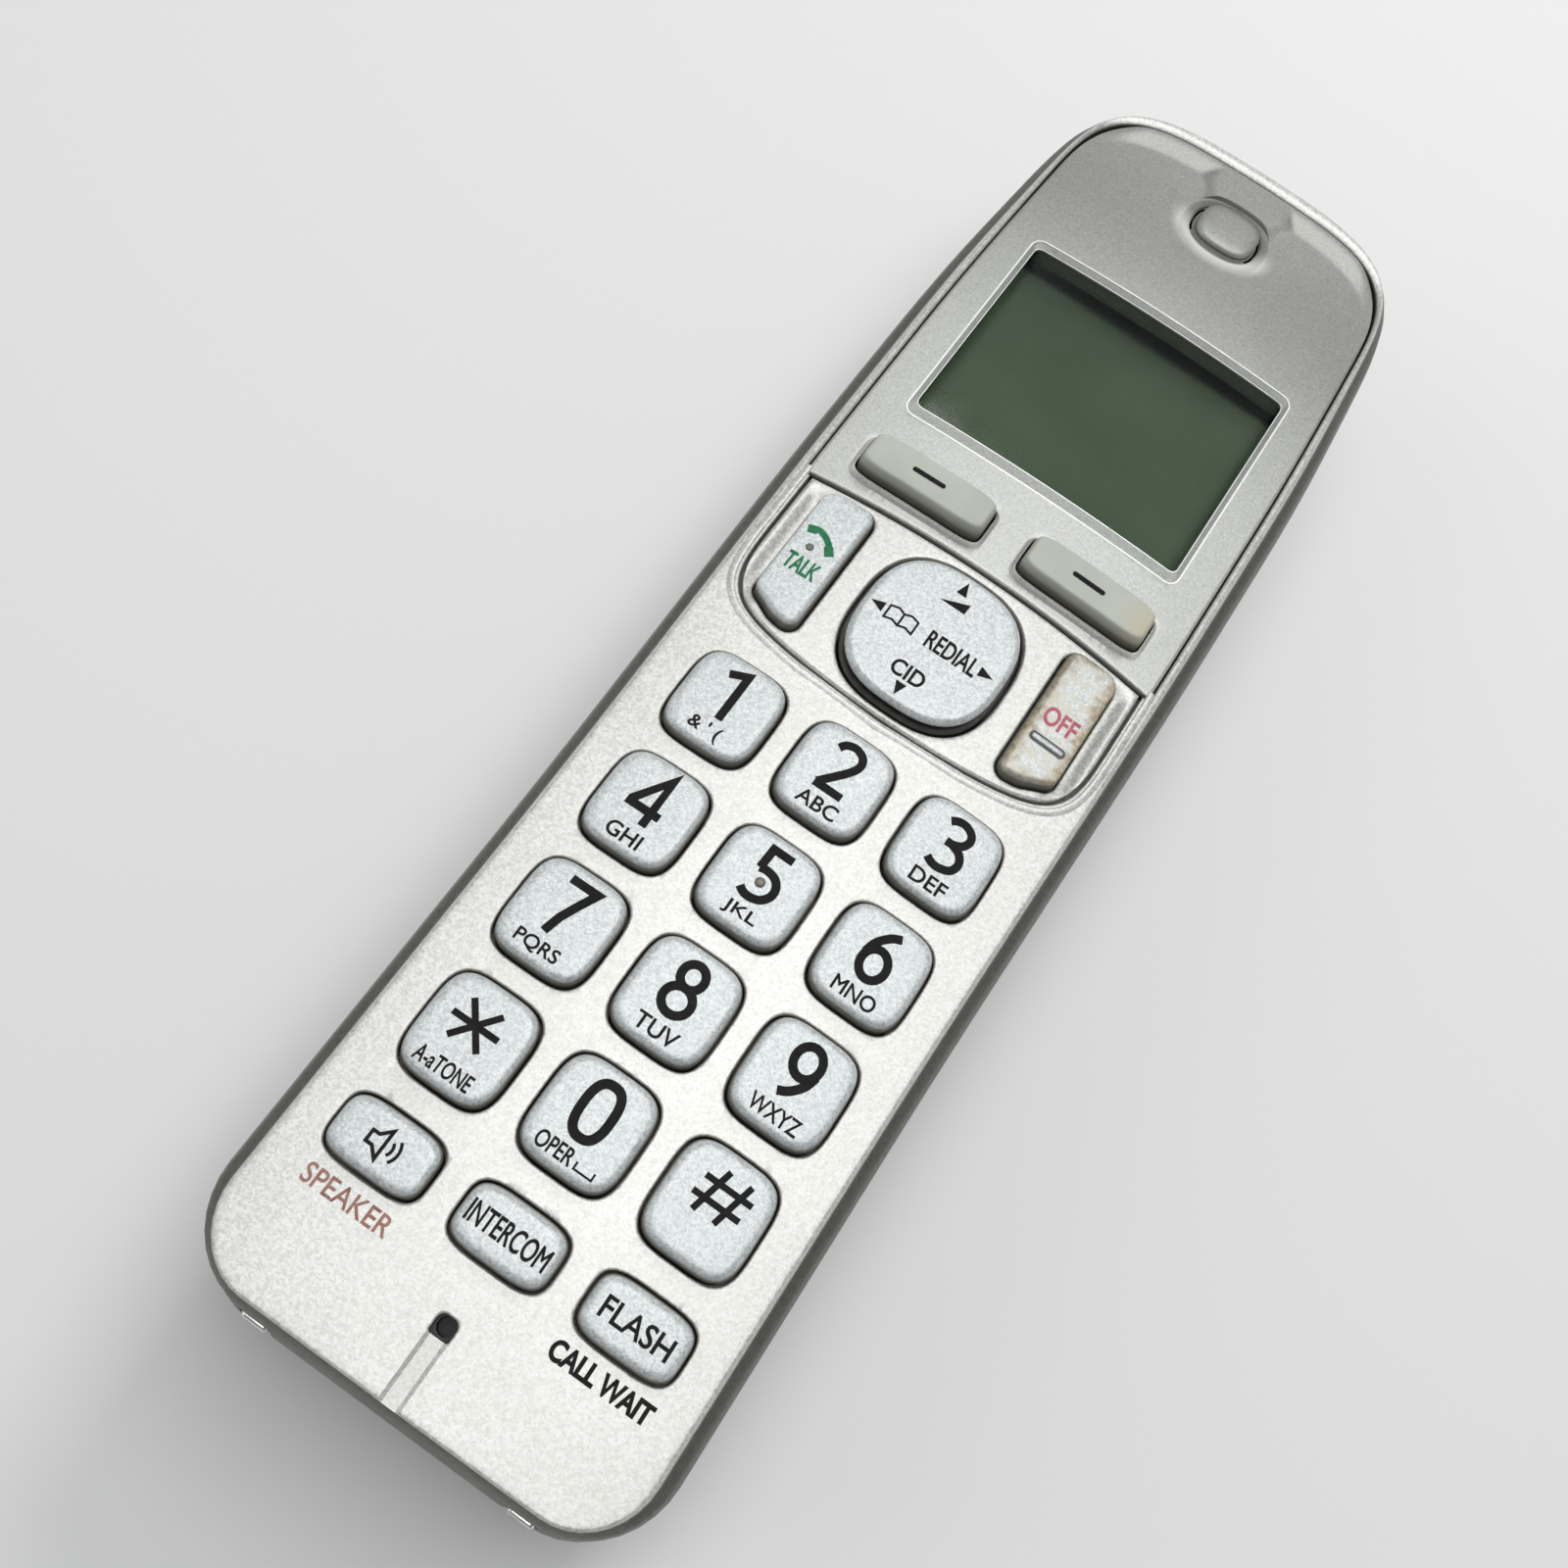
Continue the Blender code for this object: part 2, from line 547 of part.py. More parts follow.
def make_rear_cover():
    rim_z = PARTING_Z - GAP
    lip = 2.2
    levels = back_levels(7)
    levels += [belt_loop(0.0, 15.0), belt_loop(0.1, rim_z, -85.3), belt_loop(lip, rim_z, -85.3),
               belt_loop(lip, rim_z + 1.5, -85.3)]
    rear = loft("rear_cover", levels, "rear_grey")
    cavity_levels = back_levels(6, WALL, BACK_FLOOR)
    cavity_levels += [belt_loop(lip + 0.9, rim_z - 1.5, -85.3), belt_loop(lip + 0.9, rim_z + 3, -85.3)]
    cut(rear, loft("rear_cavity", cavity_levels))
    # The battery bay hangs inside as a tray, and posts carry the board and the screws.
    bay_block = box("bay_block", -BAY_HALF_W - BAY_WALL, BAY_HALF_W + BAY_WALL, BAY_LOW_Y - BAY_WALL,
                    BAY_TOP_Y + BAY_WALL, 3.0, BAY_CEILING_Z + BAY_WALL)
    posts = [column_stack(circle((side * 17.2, y), 1.6, 8), 5.0, PCB_Z - GAP)
             for side in (-1, 1) for y in (-30.0, 18.0, 58.0)]
    sockets = [column_stack(circle((side * SCREW_X, SCREW_Y), 3.7, 12), 4.0, 13.6) for side in (-1, 1)]
    add(rear, bay_block, many("rear_posts", posts + sockets))
    door_void = box("door_void", -DOOR_HALF_W - GAP, DOOR_HALF_W + GAP, -95, DOOR_TOP_Y + GAP, -2,
                    DOOR_END_Z + GAP)
    cut(door_void, loft("door_seat", back_levels(7, DOOR_THICK + GAP, DOOR_THICK + GAP)
                        + [belt_loop(DOOR_THICK + GAP, 20)]))
    bay = box("bay_void", -BAY_HALF_W, BAY_HALF_W, BAY_LOW_Y, BAY_TOP_Y, -2, BAY_CEILING_Z)
    flange_x, tongue_x = DOOR_HALF_W - 1.2 - GAP, DOOR_HALF_W + 0.9 + GAP
    rail_top = RAIL_Z + RAIL_THICK + GAP
    slots = [column_stack(side_strip(side, flange_x, DOOR_HALF_W + GAP, -95, RAIL_TOP_Y + GAP), 1.0, rail_top)
             for side in (-1, 1)]
    grooves = [column_stack(side_strip(side, DOOR_HALF_W, tongue_x, -95, RAIL_TOP_Y + GAP), RAIL_Z - GAP,
                            rail_top) for side in (-1, 1)]
    wells = [column_stack(circle((side * SCREW_X, SCREW_Y), 2.6, 12), -2, 9.0) for side in (-1, 1)]
    throats = [column_stack(circle((side * SCREW_X, SCREW_Y), 1.4, 12), 8, 15) for side in (-1, 1)]
    contact_x0, contact_x1 = CONTACT_X - CONTACT_HALF_W - GAP, CONTACT_X + CONTACT_HALF_W + GAP
    contacts = [column_stack(side_strip(side, contact_x0, contact_x1, -90, -81.2), CONTACT_LOW_Z - GAP,
                             CONTACT_TOP_Z + GAP) for side in (-1, 1)]
    sound = [column_stack(rectangle(-half, half, y - 0.6, y + 0.6), -2, 9)
             for y, half in ((LOUDSPEAKER_Y - 6, 4.5), (LOUDSPEAKER_Y - 3, 7.0), (LOUDSPEAKER_Y, 8.0),
                             (LOUDSPEAKER_Y + 3, 7.0), (LOUDSPEAKER_Y + 6, 4.5))]
    cut(rear, door_void, bay, many("door_flange_slots", slots), many("door_rail_grooves", grooves),
        many("screw_wells", wells), many("screw_throats", throats), many("contact_slots", contacts),
        many("loudspeaker_slots", sound))


def make_battery_door():
    door = box("battery_door", -DOOR_HALF_W, DOOR_HALF_W, -95, DOOR_TOP_Y, -2, DOOR_END_Z, "rear_grey")
    combine(door, loft("door_skin", back_levels(7) + [belt_loop(0.0, 20)]), "INTERSECT")
    cut(door, loft("door_inside", back_levels(7, DOOR_THICK, DOOR_THICK) + [belt_loop(DOOR_THICK, 20)]))
    flanges, tongues = [], []
    for side in (-1, 1):
        inner = DOOR_HALF_W - 1.2
        flanges.append(column_stack(side_strip(side, inner, DOOR_HALF_W, RAIL_LOW_Y, RAIL_TOP_Y), 2.6,
                                    RAIL_Z + RAIL_THICK))
        tongues.append(column_stack(side_strip(side, inner, DOOR_HALF_W + 0.9, RAIL_LOW_Y, RAIL_TOP_Y),
                                    RAIL_Z, RAIL_Z + RAIL_THICK))
    add(door, many("door_flanges", flanges), many("door_tongues", tongues))
    # Thumb grip: three shallow grooves across the door near its upper edge.
    grips = [column_stack(rectangle(-6, 6, DOOR_TOP_Y - 9 - 2.2 * k, DOOR_TOP_Y - 8 - 2.2 * k), -1, 0.45)
             for k in range(3)]
    cut(door, many("door_grip", grips))


# ---------------------------------------------------------------- keys

def make_key(name, outline, finish, flange_by=KEY_FLANGE, proud=KEY_PROUD):
    """A keycap: a retaining flange under the cover, a straight body and a slightly smaller top.

    outline(grow) gives the plan, so the same rule makes the flange, the body and the top.
    """
    flange, body, top = outline(flange_by), outline(0.0), outline(-0.38)
    levels = [at_height(flange, KEY_BOTTOM_Z), at_height(flange, KEY_FLANGE_TOP_Z),
              at_height(body, KEY_FLANGE_TOP_Z),
              [(x, y, face_z(x) + proud - 0.45) for x, y in body],
              [(x, y, face_z(x) + proud) for x, y in top]]
    return loft(name, levels, finish)


def make_keys():
    for name, centre, half in key_places():
        make_key(name, lambda grow, c=centre, h=half: superellipse(c, grown(h, grow)), "key_silver")
    for name, side in (("talk_key", -1), ("off_key", 1)):
        make_key(name, lambda grow, s=side: talk_outline(s, grow), "key_silver")
    for name, side in (("soft_key_left", -1), ("soft_key_right", 1)):
        make_key(name, lambda grow, s=side: soft_key_outline(s, grow), "soft_key_grey", 0.6,
                 SOFT_KEY_PROUD)


def make_nav_key():
    """The four-way key: a carrier that rocks up and down, and a cap on it that rocks left and right."""
    flange, skirt = nav_outline((9.9, 10.2)), nav_outline((8.9, 9.15))
    carrier_top = FACE_Z - 0.25
    carrier = loft("nav_carrier", [at_height(flange, 24.0), at_height(flange, 24.7), at_height(skirt, 24.7),
                                   at_height(skirt, carrier_top)], "black_plastic")
    cut(carrier, prism("nav_carrier_well", circle((0, NAV_Y), 2.9, 12), 25.6, 31))
    cap_low = nav_outline((NAV_CAP_HALF[0] - 0.3, NAV_CAP_HALF[1] - 0.3))
    cap_top = nav_outline((NAV_CAP_HALF[0] - 0.45, NAV_CAP_HALF[1] - 0.45))
    cap_side = nav_outline(NAV_CAP_HALF)
    cap = loft("nav_key", [at_height(cap_low, FACE_Z + 0.3), at_height(cap_side, FACE_Z + 0.55),
                           at_height(cap_side, FACE_Z + KEY_PROUD - 0.35),
                           at_height(cap_top, FACE_Z + KEY_PROUD)], "key_silver")
    add(cap, prism("nav_key_stem", circle((0, NAV_Y), 2.2, 12), 25.9, FACE_Z + 0.8))


# ---------------------------------------------------------------- display

def make_display():
    half = WINDOW_HALF_W - 0.15
    lens = sheet_solid("display_lens", spread(half + LENS_FLANGE, 10, 1.0),
                       lambda x: WINDOW_LOW_Y - LENS_FLANGE + 0.2, lambda x: WINDOW_TOP_Y + LENS_FLANGE - 0.2,
                       lambda x, y: face_z(x) - PANEL_THICK - GAP, lambda x, y: face_z(x) - 3.0, (0, 1),
                       "clear_lens")
    plug = sheet_solid("display_lens_plug", spread(half - 0.2, 10, 1.0), lambda x: WINDOW_LOW_Y + 0.35,
                       lambda x: WINDOW_TOP_Y - 0.35, lambda x, y: face_z(x) - LENS_BELOW,
                       lambda x, y: face_z(x) - 2.5, (0, 1))
    add(lens, plug)
    glass_half_h = WINDOW_HALF_H + 1.0
    low, high = WINDOW_MID_Y - glass_half_h, WINDOW_MID_Y + glass_half_h
    box("lcd_glass", -17.9, 17.9, low, high, 22.5, 23.7, "lcd_green")
    box("lcd_backlight", -17.9, 17.9, low, high, 21.1, 22.2, "white_plastic")
    frame = box("lcd_frame", -19.6, 19.6, low - 1.7, high + 1.7, 20.7, 23.8, "black_plastic")
    cut(frame, box("lcd_frame_opening", -18.2, 18.2, low - 0.3, high + 0.3, 20, 25))


# ---------------------------------------------------------------- board, rubber and domes

def press_points():
    """Where a key presses its switch, with the half size of the rubber pad there."""
    points = [(centre, (half[0] - 1.6, half[1] - 1.6)) for _, centre, half in key_places()]
    points += [((side * 15.5, 4.0), (2.0, 5.0)) for side in (-1, 1)]
    points += [((side * SOFT_KEY_X, SOFT_KEY_Y), (5.0, 1.3)) for side in (-1, 1)]
    points += [((7.0 * math.cos(turn), NAV_Y + 7.0 * math.sin(turn)), (1.5, 1.5))
               for turn in (0, math.pi / 2, math.pi, 3 * math.pi / 2)]
    return points


def make_board():
    board = prism("main_board", plan_loop(20.0, 78.0, -80.5, 15.0, 6.0), PCB_Z, PCB_Z + PCB_THICK,
                  "board_green")
    notches = [column_stack(circle((side * SCREW_X, SCREW_Y), 3.1, 12), 18, 22) for side in (-1, 1)]
    cut(board, many("board_notches", notches))
    dome_base_z = PCB_Z + PCB_THICK + 0.05
    sheet = box("dome_sheet", -18.9, 18.9, -72.0, 22.4, dome_base_z, dome_base_z + 0.12, "white_plastic")
    membrane = box("keypad_membrane", -19.2, 19.2, -72.6, 23.2, MEMBRANE_Z + GAP,
                   MEMBRANE_Z + GAP + MEMBRANE_THICK, "silicone_rubber")
    domes, pads, relief = [], [], []
    for centre, half in press_points():
        pad = [superellipse(centre, grown(half, by), 3.5, 8) for by in (0.3, 0.0)]
        pads.append([at_height(pad[0], MEMBRANE_Z + 0.6), at_height(pad[1], PAD_TOP_Z)])
        dome = [circle(centre, r, 6) for r in (2.0, 0.8)]
        domes.append([at_height(dome[0], dome_base_z + 0.06),
                      at_height(dome[1], dome_base_z + 0.12 + DOME_HEIGHT)])
        relief.append(column_stack(circle(centre, 2.6, 6), MEMBRANE_Z, MEMBRANE_Z + GAP + 0.35))
    add(sheet, many("dome_shells", domes))
    add(membrane, many("membrane_pads", pads))
    cut(membrane, many("membrane_reliefs", relief))
    make_board_parts()


def make_board_parts():
    shield = box("rf_shield", -12, 12, 6, 38, 15.9, PCB_Z - GAP, "tin_plate")
    cut(shield, box("rf_shield_inside", -11.6, 11.6, 6.4, 37.6, 16.3, 20))
    antenna = box("antenna", 8.0, 17.5, 66.0, 66.4, PCB_Z + PCB_THICK + GAP, 23.2, "tin_plate")
    add(antenna, box("antenna_top", 8.0, 17.5, 66.0, 69.5, 22.8, 23.2))


# ---------------------------------------------------------------- sound

def make_sound_parts():
    turned("earpiece_receiver", (0, EARPIECE_Y, 20.7),
           ((6.4, 0), (6.6, 0.4), (6.6, 2.2), (5.4, 2.6), (5.2, 2.9)), "black_plastic", 20)
    gasket = prism("receiver_gasket", superellipse((0, EARPIECE_Y), (6.2, 5.2), 2.4, 16), 23.72, 24.05,
                   "silicone_rubber")
    cut(gasket, prism("receiver_gasket_hole", superellipse((0, EARPIECE_Y), (4.9, 3.6), 2.4, 16), 23, 25))
    turned("loudspeaker", (0, LOUDSPEAKER_Y, 7.2),
           ((9.0, 0), (9.2, 0.5), (9.2, 1.8), (7.2, 3.4), (5.0, 3.6), (5.0, 5.4)), "steel", 20)
    turned("microphone", (0, MIC_Y, 20.75), ((1.9, 0), (2.0, 0.2), (2.0, 1.4), (1.8, 1.5)), "tin_plate", 12)
    boot = prism("microphone_boot", circle((0, MIC_Y), 3.1, 16), 20.75, 25.6, "silicone_rubber")
    cut(boot, prism("microphone_boot_bore", circle((0, MIC_Y), 2.3, 16), 20, 22.6),
        prism("microphone_boot_port", circle((0, MIC_Y), 0.9, 12), 22, 27))


# ---------------------------------------------------------------- power

def make_cells():
    """Two cells lie head to tail, each pressed by the spring at its flat end."""
    for index, side in ((1, -1), (2, 1)):
        x = side * CELL_X
        low = BAY_LOW_Y + 5.6 if side < 0 else BAY_LOW_Y + 1.2
        profile = [(1.9, 0.0), (1.9, 0.9), (4.6, 1.0), (CELL_R, 1.5), (CELL_R, CELL_LENGTH - 0.5),
                   (4.7, CELL_LENGTH)]
        if side < 0:
            profile = [(radius, CELL_LENGTH - along) for radius, along in profile[::-1]]
        turned(f"battery_cell_{index}", (x, low, CELL_Z), profile, "cell_sleeve", 18, axis="y")
        if side < 0:
            spring_end, plate_y = BAY_LOW_Y + 0.9, BAY_TOP_Y - 0.8
        else:
            spring_end, plate_y = BAY_TOP_Y - 0.9, BAY_LOW_Y + 0.3
        box(f"battery_plate_{index}", x - 4.4, x + 4.4, plate_y, plate_y + 0.5, 3.2, 12.2, "tin_plate")
        make_cell_spring(f"battery_spring_{index}", x, spring_end, -side)


def make_cell_spring(name, x, end_y, way):
    """A conical spring of round wire that narrows towards the cell."""
    turns, per_turn, wire_r, length = 3.5, 8, 0.32, 3.7
    curve = bpy.data.curves.new(name, "CURVE")
    curve.dimensions = "3D"
    curve.bevel_depth = wire_r * MM
    curve.bevel_resolution = 0
    curve.use_fill_caps = True
    count = int(turns * per_turn)
    spline = curve.splines.new("POLY")
    spline.points.add(count)
    for i in range(count + 1):
        share = i / count
        turn = 2 * math.pi * turns * share
        radius = 3.9 - 1.7 * share
        along = end_y + way * length * share
        spline.points[i].co = ((x + radius * math.cos(turn)) * MM, along * MM,
                               (CELL_Z + radius * math.sin(turn)) * MM, 1)
    curve.materials.append(material("steel"))
    obj = bpy.data.objects.new(name, curve)
    bpy.context.scene.collection.objects.link(obj)


def make_charge_contacts():
    """Each contact is a strip that shows at the lower end and turns up to the board inside."""
    for name, side in (("charge_contact_left", -1), ("charge_contact_right", 1)):
        x0, x1 = side * CONTACT_X - CONTACT_HALF_W, side * CONTACT_X + CONTACT_HALF_W
        strip = box(name, x0, x1, -86.0, -82.9, CONTACT_LOW_Z, CONTACT_TOP_Z, "gold_plate")
        add(strip, box(name + "_leg", x0 + 0.4, x1 - 0.4, -83.2, -81.0, CONTACT_TOP_Z - 1.2, CONTACT_TOP_Z),
            box(name + "_tail", x0 + 0.4, x1 - 0.4, -81.7, -80.9, CONTACT_TOP_Z - 1.2, PCB_Z + 0.8))


def make_screws():
    for name, side in (("case_screw_left", -1), ("case_screw_right", 1)):
        x = side * SCREW_X
        profile = ((1.6, 7.0), (2.2, 7.4), (2.2, 8.7), (1.1, 8.8), (1.1, 21.4), (0.5, 22.2))
        screw = turned(name, (x, SCREW_Y, 0), profile, "steel", 12)
        cross = [column_stack(rectangle(x - a, x + a, SCREW_Y - b, SCREW_Y + b), 6.5, 7.9)
                 for a, b in ((1.2, 0.28), (0.28, 1.2))]
        cut(screw, many(name + "_slot_a", cross[:1]), many(name + "_slot_b", cross[1:]))


def main():
    for obj in list(bpy.data.objects):
        bpy.data.objects.remove(obj)
    make_front_cover()
    make_display_panel()
    make_nav_panel()
    make_rear_cover()
    make_battery_door()
    make_keys()
    make_nav_key()
    make_display()
    make_board()
    make_sound_parts()
    make_cells()
    make_charge_contacts()
    make_screws()


main()
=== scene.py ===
import math

import bmesh
import bpy
from mathutils import Matrix, Vector


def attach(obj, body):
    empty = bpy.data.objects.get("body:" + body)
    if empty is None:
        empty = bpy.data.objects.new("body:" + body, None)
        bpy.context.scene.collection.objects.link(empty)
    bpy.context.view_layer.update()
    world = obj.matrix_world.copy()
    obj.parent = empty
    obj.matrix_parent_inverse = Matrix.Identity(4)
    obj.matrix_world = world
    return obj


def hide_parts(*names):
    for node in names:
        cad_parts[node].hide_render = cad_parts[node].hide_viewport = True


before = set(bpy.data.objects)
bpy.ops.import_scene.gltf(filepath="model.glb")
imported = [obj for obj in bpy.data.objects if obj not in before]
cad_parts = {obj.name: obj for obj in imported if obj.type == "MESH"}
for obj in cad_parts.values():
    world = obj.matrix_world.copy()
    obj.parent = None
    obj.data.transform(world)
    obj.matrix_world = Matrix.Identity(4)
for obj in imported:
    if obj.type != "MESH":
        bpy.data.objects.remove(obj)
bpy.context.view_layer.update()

# Lengths in this script are millimetres until new_piece() turns them into metres. The frame is the CAD's:
# +X to the right of the keypad, +Y towards the earpiece and +Z out of the keypad.
MM = 0.001
HANDSET = "handset"

# ---------------------------------------------------------------- the body's own numbers, as in the CAD
HALF_W, HALF_L, FACE_Z, CROWN_R = 25.0, 86.0, 28.0, 220.0
PARTING_Z, BELT_Z, WALL, GAP = 20.0, 13.0, 1.9, 0.3
FLAT_HALF_W, FLAT_TOP_Y, FLAT_BOTTOM_Y = 13.0, 15.0, -70.0
ARCH, ARCH_POWER, CORNER_R = 23.5, 4.1, 9.5
ARCH_STEPS, SIDE_STEPS, CORNER_STEPS, FLOOR_STEPS = 64, 30, 9, 8
FACE_TOP_Y, LEDGE_Z, BACK_FLOOR = 87.5, 24.2, 4.2
PANEL_HALF_W, PANEL_LOW_Y, PANEL_TOP_Y, PANEL_THICK = 21.5, 14.85, 83.15, 1.6
PANEL_ARCH, PANEL_POWER, PANEL_SAG, PANEL_GAP = 21.3, 4.6, 0.0023, 0.25
NAV_HALF_W, NAV_TOP_Y, NAV_LOW_Y, NAV_MID_Y = 21.15, 14.4, -6.5, 12.3
NAV_POWER, NAV_SAG, NAV_THICK = 8.0, 0.0058, 0.9
PITCH_X, PITCH_Y, ROW_1_Y, FUNCTION_ROW_Y = 13.2, 13.6, -15.15, -67.65
FUNCTION_PITCH_X, SOFT_PROUD = 13.5, 2.0
DIAL_HALF, FUNCTION_HALF = (5.1, 5.4), (5.05, 3.05)
KEY_GAP, KEY_PROUD, KEY_BOTTOM_Z, KEY_FLANGE, KEY_FLANGE_TOP_Z = 0.25, 1.4, 23.8, 0.8, 24.7
SOFT_X, SOFT_Y, SOFT_HALF = 10.35, 19.65, (7.8, 2.55)
NAV_Y, NAV_CAP, NAV_HOLE, TALK_X, TALK_Y = 3.85, (8.55, 8.75), (9.2, 9.5), 15.5, 4.35
WINDOW_HALF_W, WINDOW_LOW_Y, WINDOW_TOP_Y = 17.2, 28.75, 56.8
WINDOW_MID_Y = (WINDOW_LOW_Y + WINDOW_TOP_Y) / 2
WINDOW_HALF_H = (WINDOW_TOP_Y - WINDOW_LOW_Y) / 2
WINDOW_STEPS = 240
EAR_Y, SPEAKER_Y, MIC_Y, MIC_HALF_W, LCD_SHADOW_Y = 74.4, 46.0, -76.5, 1.06, 56.3
DIP_FROM_Y, DIP_TO_Y, DIP_DEPTH = 57.0, 78.0, 0.8
END_CUT_Y, INNER_END_Y, CUT_LOW_Z, CUT_TOP_Z, HOLE_DEEP = -95, -85.1, 21, 31, 7.0
CELL_R, CELL_LENGTH, CELL_X, CELL_Z = 5.25, 44.5, 5.6, 7.75
BAY_HALF_W, BAY_LOW_Y, BAY_TOP_Y, BAY_CEILING_Z, BAY_WALL = 11.7, -57.5, -6.0, 13.3, 1.3
DOOR_HALF_W, DOOR_TOP_Y, DOOR_THICK, DOOR_END_Z = 19.5, -2.3, 1.8, 8.7
RAIL_Z, RAIL_THICK, RAIL_TOP_Y, RAIL_LOW_Y = 4.7, 0.7, -8.0, -62.0
CONTACT_X, CONTACT_HALF_W, CONTACT_LOW_Z, CONTACT_TOP_Z = 14.7, 1.45, 13.2, 17.6
SCREW_X, SCREW_Y, PCB_Z = 14.0, -76.0, 19.2
DIAL_KEYS = (("key_1", "key_2", "key_3"), ("key_4", "key_5", "key_6"),
             ("key_7", "key_8", "key_9"), ("key_star", "key_0", "key_hash"))
FUNCTION_KEYS = ("speaker_key", "intercom_key", "flash_key")


# ---------------------------------------------------------------- surfaces and outlines
def crown(x):
    return x * x / (2 * CROWN_R)


def face_z(x, y=0.0):
    return FACE_Z - crown(x)


def smooth(low, high, value):
    share = min(1.0, max(0.0, (value - low) / (high - low)))
    return share * share * (3 - 2 * share)


def breadth(y):
    """The body's relative breadth along its length, as in the CAD."""
    return 0.995 + 0.035 * smooth(-40, 25, y) - 0.04 * smooth(40, 80, y)


def signed_power(value, power):
    return math.copysign(abs(value) ** power, value)


def superellipse(centre, half, power=4.0, count=72):
    points = []
    for i in range(count):
        turn = 2 * math.pi * (i + 0.5) / count
        points.append((centre[0] + half[0] * signed_power(math.cos(turn), 2 / power),
                       centre[1] + half[1] * signed_power(math.sin(turn), 2 / power)))
    return points


def circle(centre, radius, count=40):
    return superellipse(centre, (radius, radius), 2.0, count)


def rectangle(x0, x1, y0, y1):
    return [(x1, y0), (x1, y1), (x0, y1), (x0, y0)]


def rounded_polygon(corners, radii, steps=8):
    points = []
    for i, (corner, radius) in enumerate(zip(corners, radii)):
        before, after = corners[i - 1], corners[(i + 1) % len(corners)]
        a = math.atan2(before[1] - corner[1], before[0] - corner[0])
        b = math.atan2(after[1] - corner[1], after[0] - corner[0])
        half = ((a - b) % (2 * math.pi)) / 2
        reach = radius / math.sin(half)
        middle = b + half
        cx, cy = corner[0] + reach * math.cos(middle), corner[1] + reach * math.sin(middle)
        sweep = math.pi - 2 * half
        for k in range(steps + 1):
            turn = middle + math.pi - sweep / 2 + sweep * k / steps
            points.append((cx + radius * math.cos(turn), cy + radius * math.sin(turn)))
    return points


def resampled(points, count):
    """The same closed outline with its points evenly spaced."""
    lengths = [math.dist(points[i], points[(i + 1) % len(points)]) for i in range(len(points))]
    total = sum(lengths)
    made, i, walked = [], 0, 0.0
    for k in range(count):
        target = total * k / count
        while walked + lengths[i] < target:
            walked += lengths[i]
            i += 1
        share = (target - walked) / max(lengths[i], 1e-9)
        a, b = points[i], points[(i + 1) % len(points)]
        made.append((a[0] + (b[0] - a[0]) * share, a[1] + (b[1] - a[1]) * share))
    return made


def offset(points, by):
    """A closed anticlockwise outline moved outwards by a distance."""
    made = []
    for i, (x, y) in enumerate(points):
        x0, y0 = points[i - 1]
        x1, y1 = points[(i + 1) % len(points)]
        dx, dy = x1 - x0, y1 - y0
        size = math.hypot(dx, dy)
        made.append((x + by * dy / size, y - by * dx / size))
    return made


def talk_outline(side, grow=0.0):
    corners = [(12.4, 12.95), (12.4, -4.25), (15.4, -3.75), (18.6, -2.05), (18.6, 12.95)]
    right = rounded_polygon(corners, [1.6, 1.3, 3.0, 1.6, 2.0])
    right = offset(resampled(right, 96), grow)
    return right if side > 0 else [(-x, y) for x, y in right[::-1]]


def arch(half_w, top_y, depth, power, steps):
    """The points of an arched end, from its right side over the top to its left side."""
    turns = [math.pi * i / steps for i in range(steps + 1)]
    return [(half_w * signed_power(math.cos(t), 2 / power),
             top_y - depth + depth * abs(math.sin(t)) ** (2 / power)) for t in turns]


def plan_loop(half_w, top_y, bottom_y, arch_depth, corner):
    """The body seen from above: an arched top end, long sides and a flat lower end with round corners."""
    arch_depth, corner = max(arch_depth, 0.3), max(corner, 0.3)
    high, low, inner = top_y - arch_depth, bottom_y + corner, half_w - corner
    side_ys = [high + (low - high) * k / SIDE_STEPS for k in range(1, SIDE_STEPS)]
    turns = [math.pi / 2 * i / CORNER_STEPS for i in range(CORNER_STEPS + 1)]
    bend = [(inner + corner * math.cos(turn), low - corner * math.sin(turn)) for turn in turns]
    points = arch(half_w, top_y, arch_depth, ARCH_POWER, ARCH_STEPS)
    points += [(-half_w, y) for y in side_ys] + [(-x, y) for x, y in bend]
    points += [(-inner + 2 * inner * k / FLOOR_STEPS, bottom_y) for k in range(1, FLOOR_STEPS)]
    points += bend[::-1] + [(half_w, y) for y in side_ys[::-1]]
    return [(x * (breadth(y) - 0.02 * smooth(50, 78, y)), y) for x, y in points]


def back_level(turn, inset=0.0, lift=0.0):
    rise = math.sin(turn)
    half_w = FLAT_HALF_W + (HALF_W - FLAT_HALF_W) * rise
    top_y = FLAT_TOP_Y + (HALF_L - FLAT_TOP_Y) * rise
    bottom_y = FLAT_BOTTOM_Y - (HALF_L + FLAT_BOTTOM_Y) * rise
    share = half_w / HALF_W
    loop = plan_loop(half_w - inset, top_y - inset, bottom_y + inset, ARCH * share - inset,
                     CORNER_R * share - inset)
    return at_height(loop, BELT_Z * (1 - math.cos(turn)) + lift)


def back_levels(steps, inset=0.0, lift=0.0):
    return [back_level(math.pi / 2 * i / steps, inset, lift) for i in range(steps + 1)]


def belt_outline(inset, bottom_y=-HALF_L, top_y=HALF_L):
    return plan_loop(HALF_W - inset, top_y - inset, bottom_y + inset, ARCH - inset, CORNER_R - inset)


def belt_loop(inset, z, bottom_y=-HALF_L, top_y=HALF_L):
    return at_height(belt_outline(inset, bottom_y, top_y), z)


